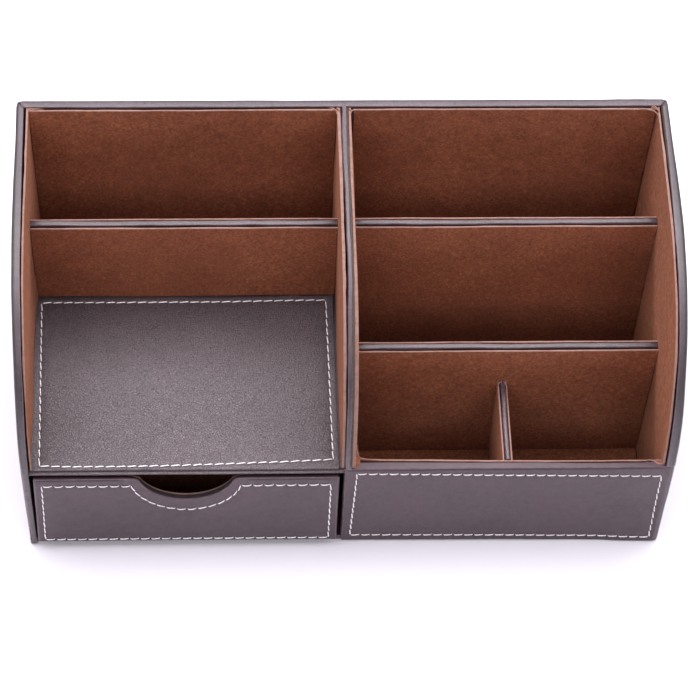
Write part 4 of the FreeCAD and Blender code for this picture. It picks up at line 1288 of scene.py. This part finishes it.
def partitions():
    wl = lambda z: at_lean(LINED, -1, z) + 0.05
    wr = lambda z: at_lean(LINED, 1, z) - 0.05
    partition_leather("rear_partition_left_leather", "rear_partition_left_binding", wl, lambda z: CLL - 0.05, 111.5, 126.0, 1.7, 12.0, 501, 0.6)
    partition_leather("rear_partition_right_leather", "rear_partition_right_binding", lambda z: CRL + 0.05, wr, 111.5, 126.0, 1.7, 12.0, 511, 0.85)
    partition_leather("front_partition_leather", "front_partition_binding", lambda z: CRL + 0.05, wr, 57.0, 94.0, 1.7, 12.0, 521, 0.8)
    # low divider, along Y
    geo = Geo()
    zt = HF
    loop = np.concatenate([line((5.9, zt - 12), (53.9, zt - 12), 5.0), line((53.9, zt - 12), (53.9, zt), 3.0),
                           line((53.9, zt), (5.9, zt), 2.0), line((5.9, zt), (5.9, zt - 12), 3.0)])
    v = loop[:, 1]
    rr = np.where(v > zt - 1e-6, 1.15, 0.15)

    def fm(u, v, w):
        top = sstep(v, zt - 8, zt - 1)
        x = 79.1 + w + (0.22 * noise3(u, 0, 0, 24, 531) + 0.06 * noise3(u, v, w, 7, 532)) * top
        return x, u + YO, v + 0.12 * noise3(u, 0, 0, 15, 533) * top
    slab(geo, loop, 2.6, rr, rr, fm, seg=5, spacing=6.0, support=0.25)
    place(geo.obj("pocket_divider_leather", LEATHER), "case", "pocket_divider_binding")


# ---------------------------------------------------------------- memo deck
DECK_RING = ring_holes([[(-154.0, 3.8), (-138.0, 3.2), (-118.0, 3.1), (-92.0, 3.4), (-66.0, 4.1), (-40.0, 5.0), (-20.0, 5.7), (-7.4, 6.3)],
                        [(-7.4, 6.3), (-8.4, 104.6)], [(-8.4, 104.6), (-155.2, 104.7)], [(-155.2, 104.7), (-154.0, 3.8)]])


def deck_map(u, v, w):
    """u = x, v = Y, w = depth below the deck's upper face."""
    z = HF - w
    up = sstep(u, -75, -12) * sstep(v, 88, 108)
    z = z + 1.15 * up
    z = z + 0.10 * noise3(u, v, 0, 30, 601) * (w < 2)
    y = v + 0.10 * noise3(u, 0, 0, 40, 602) * (1 - sstep(v, 0, 6))
    return u, y + YO, z


def memo_deck():
    geo = Geo()
    x0f, x0r, x1 = -159.1, -159.1, -4.0
    # a rounded plate, a touch out of square as it lies
    step = 3.0
    loop = np.concatenate([
        line((-157.9, 1.3), (-5.2, 1.1), step), arc(-5.2, 2.3, 1.2, -90, 0, 4),
        line((-4.0, 2.3), (-4.4, 107.6), step), arc(-5.4, 107.6, 1.0, 0, 90, 4),
        line((-5.4, 108.6), (-158.4, 107.9), step), arc(-158.4, 106.9, 1.0, 90, 180, 4),
        line((-159.4, 106.9), (-159.35, 50.0), step), line((-159.35, 50.0), (-158.9, 2.3), step), arc(-157.9, 2.3, 1.0, 180, 270, 3)])
    slab(geo, loop, 2.5, 0.75, 0.5, deck_map, seg=6, spacing=5.0, loops=ring_loops(DECK_RING), support=0.45, deep=sink(DECK_RING, 0.18, 0.34), back_spacing=10.0)
    # the shelf it lies on: runs on under the linings, rolled lip at the front
    loop = rect(-159.1, -1.25, 1.9, 110.3, 0.3, 5.0, 2)
    slab(geo, loop, 3.3, 0.3, 0.3, lambda u, v, w: (u, v + YO, 67.7 - w), seg=2, spacing=9.0, back_spacing=14.0, support=0.0, edge_tone=0.2)
    loop = rect(-159.2, -1.9, -0.4, 9.0, 0.0, 3.0)
    rl = np.where(loop[:, 1] < 0, 0.45, 0.2)

    def lip(u, v, w):
        return u, v + YO + 0.08 * noise3(u, 0, 0, 24, 611), 66.45 - w + 0.08 * noise3(u, 0, 0, 33, 612)
    slab(geo, loop, 0.95, rl, rl, lip, seg=6, spacing=4.0, support=0.3, edge_tone=0.8,
         lines=[line((-158.6, y), (-2.5, y), 3.0) for y in (0.9, 1.6, 2.6)])
    place(geo.obj("memo_deck_leather", DECK_LEATHER), "case", "memo_deck_cover")
    core = Geo()
    loop = rect(-158.75, -1.3, 2.2, 110.3, 0.4, 8.0, 2)
    slab(core, loop, 2.4, 0.15, 0.15, lambda u, v, w: (u, v + YO, 67.4 - w), seg=2, spacing=12.0, support=0.0, edge_tone=0.0)
    place(core.obj("memo_deck_core", MDF), "case", "memo_deck_board")
    g = Geo()
    stitches(g, DECK_RING, deck_map, 13, width=0.27, height=0.24)
    place(g.obj("memo_deck_stitches", THREAD, sharp=60), "case", "memo_deck_stitching")


# ---------------------------------------------------------------- drawer
NX, NZ, NR = -80.9, 70.0, 24.75
DX0, DX1, DZ0, DZ1 = -157.2, -4.2, 5.5, 63.9


def notch_loop(x0, x1, z0, z1, r, soft, rc=1.0, step=3.0):
    """Drawer front outline with the thumb notch."""
    zc = z1 - soft
    dz = NZ - zc
    dx = math.sqrt((r + soft) ** 2 - dz ** 2)
    a = math.degrees(math.atan2(dz, dx))
    return np.concatenate([
        line((x0 + rc, z0), (x1 - rc, z0), step), arc(x1 - rc, z0 + rc, rc, -90, 0, 3),
        line((x1, z0 + rc), (x1, z1 - rc), step), arc(x1 - rc, z1 - rc, rc, 0, 90, 3),
        line((x1 - rc, z1), (NX + dx, z1), step), arc(NX + dx, zc, soft, 90, 180 - a, 8),
        arc(NX, NZ, r, -a, -180 + a, 36), arc(NX - dx, zc, soft, a, 90, 8),
        line((NX - dx, z1), (x0 + rc, z1), step), arc(x0 + rc, z1 - rc, rc, 90, 180, 3),
        line((x0, z1 - rc), (x0, z0 + rc), step), arc(x0 + rc, z0 + rc, rc, 180, 270, 3)])


def ring_path():
    zc, r = 64.4, 28.2
    z1 = 57.95
    dx = math.sqrt(r * r - (zc - z1) ** 2)
    a = math.degrees(math.asin((zc - z1) / r))
    t = np.radians(np.linspace(-a, -180 + a, 40))
    arcp = np.stack([NX + r * np.cos(t), zc + r * np.sin(t)], 1)
    return [[(-153.4, 8.8), (-8.5, 8.5)], [(-8.5, 8.5), (-8.4, z1)], [(-8.4, z1), (NX + dx, z1)], arcp, [(NX - dx, z1), (-153.0, z1 + 0.3)],
            [(-153.0, z1 + 0.3), (-153.4, 8.8)]]


DRAWER_RING = ring_holes(ring_path())


def drawer_map(u, v, w):
    y = -2.0 + w + 0.10 * noise3(u, v, 0, 26, 701) * (w < 2)
    side = sstep(np.abs(u - NX), 27, 33)
    y = y + 0.42 * bump(v - (DZ1 - 0.85 + 0.08 * noise3(u, 0, 0, 17, 703)), 0.36) * (w < 1) * side
    z = v - 0.62 * np.maximum(w - 0.9, 0) * sstep(v, DZ1 - 5, DZ1 - 0.3)
    z = z + 0.45 * (1 - sstep(u, -120, -20)) * (1 - sstep(v, 6.5, 8.5))
    # the board is pared down around the thumb notch
    y = y - 0.9 * (1 - sstep(np.hypot(u - NX, v - NZ) - NR, 0.5, 6)) * np.clip(w / 4, 0, 1)
    return u, y + YO, z + 0.06 * noise3(u, 0, 0, 22, 702)


def drawer():
    geo = Geo()
    loop = notch_loop(DX0, DX1, DZ0, DZ1, NR, 4.0)
    arc_pt = (np.hypot(loop[:, 0] - NX, loop[:, 1] - NZ) < NR + 0.05)
    rr = np.where(arc_pt, 0.7, np.where(loop[:, 1] > DZ1 - 0.5, 0.5, 1.3))
    for _ in range(3):
        rr = (np.roll(rr, 1) + rr + np.roll(rr, -1)) / 3

    def turned(u, v, w, tn):
        # painted shade on the turn-in inside the thumb notch
        r = np.hypot(u - NX, v - NZ) - NR
        return np.where((r < 0.45) & (w > 0.55) & (v < DZ1 - 2.5), -0.9, tn)
    slab(geo, loop, 4.0, rr, 0.6, drawer_map, tone=turned, seg=6, spacing=5.0, loops=ring_loops(DRAWER_RING), support=0.25,
         lines=[line(a, b, 3.0) for q in (0.85, 1.05, 1.3, 1.7) for a, b in (((DX0 + 1.6, DZ1 - q), (NX - 31, DZ1 - q)), ((NX + 31, DZ1 - q), (DX1 - 1.6, DZ1 - q)))], deep=sink(DRAWER_RING), back_spacing=9.0)
    place(geo.obj("drawer_front_leather", FRONT_LEATHER), "drawer", "drawer_front_cover")
    g = Geo()
    stitches(g, DRAWER_RING, drawer_map, 17, width=0.29, height=0.25, sag=0.62)
    place(g.obj("drawer_front_stitches", THREAD, sharp=60), "drawer", "drawer_front_stitching")

    # the board inside it
    geo = Geo()
    loop = notch_loop(-156.4, -5.0, 5.8, 61.4, 27.6, 3.4)
    slab(geo, loop, 2.2, 0.15, 0.15, lambda u, v, w: (u, w - 1.2 + YO, v), seg=2, spacing=12.0, support=0.0, edge_tone=0.0)
    place(geo.obj("drawer_front_core", MDF), "drawer", "drawer_front_board")

    # suede on the back of the front
    geo = Geo()
    loop = notch_loop(-156.7, -4.7, 6.5, 61.2, 25.3, 3.0)

    def fm(u, v, w):
        pared = 0.9 * (1 - sstep(np.hypot(u - NX, v - NZ) - 25.3, 0.5, 6))
        return u, 2.0 + w - pared + YO + 0.12 * noise3(u, v, 0, 25, 711) * (w > 0.7), v + 0.15 * noise3(u, 0, 0, 14, 712) * sstep(v, 30, 60)

    def tone(u, v, w, tn):
        r = np.hypot(u - NX, v - NZ)
        return np.maximum(np.clip(1.15 - (r - 25.3) / 0.7, 0, 1), np.clip(1.15 - (61.2 - v) / 0.7, 0, 1))
    slab(geo, loop, 1.3, 0.2, 0.4, fm, seg=3, spacing=9.0, support=0.5, tone=tone)
    place(geo.obj("drawer_front_suede", SUEDE, sharp=50), "drawer", "drawer_front_liner")

    # wrapped box walls
    for tag, x in (("left", -156.8), ("right", -7.2)):
        geo = Geo()
        loop = rect(3.4, 104.0, 4.4 + 2.0, 56.0, 0.0, 4.0)
        rr = np.where(loop[:, 1] > 55.99, 1.2, 0.2)

        def fm(u, v, w, x=x, sd=len(tag)):
            top = sstep(v, 45, 55)
            return x + w + 0.10 * noise3(u, 0, 0, 24, 720 + sd) * top, u + YO, v + 0.12 * noise3(u, 0, 0, 18, 722 + sd) * top
        slab(geo, loop, 3.0, rr, rr, fm, seg=5, spacing=8.0, support=0.3)
        place(geo.obj("drawer_%s_leather" % tag, LEATHER), "drawer", "drawer_%s_wrap" % tag)
    geo = Geo()
    loop = rect(-156.8, -4.2, 6.4, 56.0, 0.0, 4.0)
    rr = np.where(loop[:, 1] > 55.99, 1.2, 0.3)

    def fb(u, v, w):
        top = sstep(v, 45, 55)
        return u, 107.0 - w + YO + 0.06 * noise3(u, 0, 0, 24, 731) * top * (w > 1.5), v + 0.12 * noise3(u, 0, 0, 18, 732) * top
    slab(geo, loop, 3.0, rr, rr, fb, seg=5, spacing=8.0, support=0.3)
    place(geo.obj("drawer_back_leather", LEATHER), "drawer", "drawer_back_wrap")
    geo = Geo()
    loop = rect(-153.7, -7.3, 3.4, 103.9, 0.8, 6.0, 2)

    def ff(u, v, w):
        return u, v + YO, 6.4 + w + 0.15 * noise3(u, v, 0, 24, 741) * (w > 0.5)
    slab(geo, loop, 1.0, 0.15, 0.4, ff, seg=3, spacing=14.0, back_spacing=7.0, support=0.5, edge_tone=0.0)
    place(geo.obj("drawer_floor_suede", SUEDE, sharp=50), "drawer", "drawer_floor_liner")


def sill():
    geo = Geo()
    loop = rect(-161.6, -1.3, 0.45, 3.9, 0.0, 4.0)
    rr = np.full(len(loop), 0.7)

    def fm(u, v, w):
        return u, 1.5 + w + YO + 0.08 * noise3(u, 0, 0, 21, 791) * (w < 2), v + (0.25 + 0.25 * (1 - sstep(u, -161, -90))) * (v < 2)
    slab(geo, loop, 11.0, rr, 0.3, fm, seg=4, spacing=5.0, back_spacing=9.0, support=0.2)
    place(geo.obj("drawer_sill_leather", LEATHER), "case", "drawer_sill_cover")


def underside():
    # the base board, its front edge set back behind the wrapping
    geo = Geo()
    loop = rect(-161.0, 161.0, 2.6, 164.0, 0.3, 12.0, 2)
    slab(geo, loop, 2.400, 0.15, 0.15, lambda u, v, w: (u, v + YO, 3.400 - w), seg=2, spacing=16.0, support=0.0, edge_tone=0.0)
    place(geo.obj("base_core", MDF), "case", "base_board")
    geo = Geo()
    loop = rect(-151.3, 151.3, 10.6, 154.4, 2.0, 6.0, 4)

    def fm(u, v, w):
        return u, v + YO, w + 0.06 * noise3(u, v, 0, 12, 801) * (w > 0.5)
    slab(geo, loop, 1.0, 0.3, 0.2, fm, seg=2, spacing=9.0, back_spacing=14.0, support=0.5, edge_tone=0.0)
    place(geo.obj("base_felt_pad", FELT), "case", "base_felt")


side_cover(-1)
side_cover(1)
back_cover()
front_panel()
centre_wall()
linings()
tucks()
partitions()
memo_deck()
drawer()
sill()
underside()

# carried-over CAD boards inside the leather get the board material
for name, o in NODES.items():
    if name.endswith("_board"):
        mat = MDF
    else:
        continue
    o.data.materials.clear()
    o.data.materials.append(mat)

# ---------------------------------------------------------------- stage, light, camera
def stage():
    bm = bmesh.new()
    rings = [0.0, 0.3, 0.8, 2.0, 5.0, 9.0]
    prev = None
    for r in rings:
        if r == 0:
            cur = [bm.verts.new((0, 0, -0.00002))]
        else:
            cur = [bm.verts.new((r * math.cos(a), r * math.sin(a), -0.00002)) for a in np.linspace(0, 2 * math.pi, 65)[:-1]]
        if prev is not None:
            for i in range(64):
                j = (i + 1) % 64
                if len(prev) == 1:
                    bm.faces.new((prev[0], cur[i], cur[j]))
                else:
                    bm.faces.new((prev[i], cur[i], cur[j], prev[j]))
        prev = cur
    me = bpy.data.meshes.new("stage_floor")
    bm.to_mesh(me)
    bm.free()
    m, nt, b = new_mat("stage_paper")
    w = N(nt)
    col = w.mix(w.noise(3.0, 2.0, 0.5), lin(231, 228, 236), lin(235, 232, 240))
    nt.links.new(col, b.inputs["Base Color"])
    r = w.math("MULTIPLY_ADD", w.noise(40.0, 2.0), 0.05)
    r.node.inputs[2].default_value = 0.9
    nt.links.new(r, b.inputs["Roughness"])
    nt.links.new(w.bump(w.noise(600.0, 3.0), 0.05, 0.0002), b.inputs["Normal"])
    b.inputs["Specular IOR Level"].default_value = 0.1
    me.materials.append(m)
    o = bpy.data.objects.new("stage_floor", me)
    bpy.context.scene.collection.objects.link(o)


def softbox(name, loc, target, sx, sy, radiance, color=(1, 1, 1)):
    l = bpy.data.lights.new(name, "AREA")
    l.shape = "RECTANGLE"
    l.size, l.size_y = sx, sy
    l.energy = radiance * math.pi * sx * sy
    l.color = color
    o = bpy.data.objects.new(name, l)
    o.location = loc
    o.rotation_mode = "QUATERNION"
    o.rotation_quaternion = (Vector(target) - Vector(loc)).to_track_quat("-Z", "Y")
    o.visible_camera = False
    bpy.context.scene.collection.objects.link(o)
    return o


def camera():
    e, yaw, roll = 0.9497, -0.07906, 0.05758
    f_px, dist = 3052.454, 1577.413
    tgt = Vector((3.70, 79.60 + YO, 59.555))
    ce, se = math.cos(e), math.sin(e)
    rz = Matrix.Rotation(yaw, 3, "Z")
    f, r, u = rz @ Vector((0, ce, -se)), rz @ Vector((1, 0, 0)), rz @ Vector((0, se, ce))
    cr, sr = math.cos(roll), math.sin(roll)
    r, u = cr * r + sr * u, -sr * r + cr * u
    loc = (tgt - f * dist) * 0.001
    c = bpy.data.cameras.new("camera")
    c.sensor_width = 36.0
    c.lens = f_px / 700.0 * 36.0
    c.clip_start, c.clip_end = 0.05, 60.0
    o = bpy.data.objects.new("camera", c)
    o.matrix_world = Matrix(((r.x, u.x, -f.x, loc.x), (r.y, u.y, -f.y, loc.y), (r.z, u.z, -f.z, loc.z), (0, 0, 0, 1)))
    bpy.context.scene.collection.objects.link(o)
    bpy.context.scene.camera = o


stage()
camera()
SOFT = (1.0, 0.985, 1.015)


def band(name, e0, e1, radiance, width=1.7, r=1.3):
    """Softbox on a half barrel over the object, from elevation e0 to e1 counted up
    from the horizon behind it."""
    m = math.radians((e0 + e1) / 2)
    size = 2 * r * math.sin(math.radians(e1 - e0) / 2)
    softbox(name, (0.0, r * math.cos(m), 0.08 + r * math.sin(m)), (0.0, 0.0, 0.08), width, size, radiance, SOFT)


band("back_softbox", 44, 75, 5.4)
band("high_softbox", 75, 95, 3.1)
band("top_softbox", 95, 116, 1.4)
band("front_softbox", 129, 146, 3.3)
for tag, sgn in (("left", -1), ("right", 1)):
    softbox(tag + "_softbox", (sgn * 0.836, 0.0, 1.076), (0.0, 0.0, 0.08), 0.9, 0.9, 2.2 if sgn > 0 else 2.6, SOFT)
world = bpy.data.worlds.new("studio")
world.use_nodes = True
bg = world.node_tree.nodes["Background"]
bg.inputs[0].default_value = (1.0, 0.98, 1.02, 1)
bg.inputs[1].default_value = 0.32
bpy.context.scene.world = world
bpy.context.scene.view_settings.view_transform = "Standard"
bpy.context.scene.view_settings.look = "None"
bpy.context.scene.view_settings.exposure = 0.0
bpy.context.scene.view_settings.gamma = 1.0
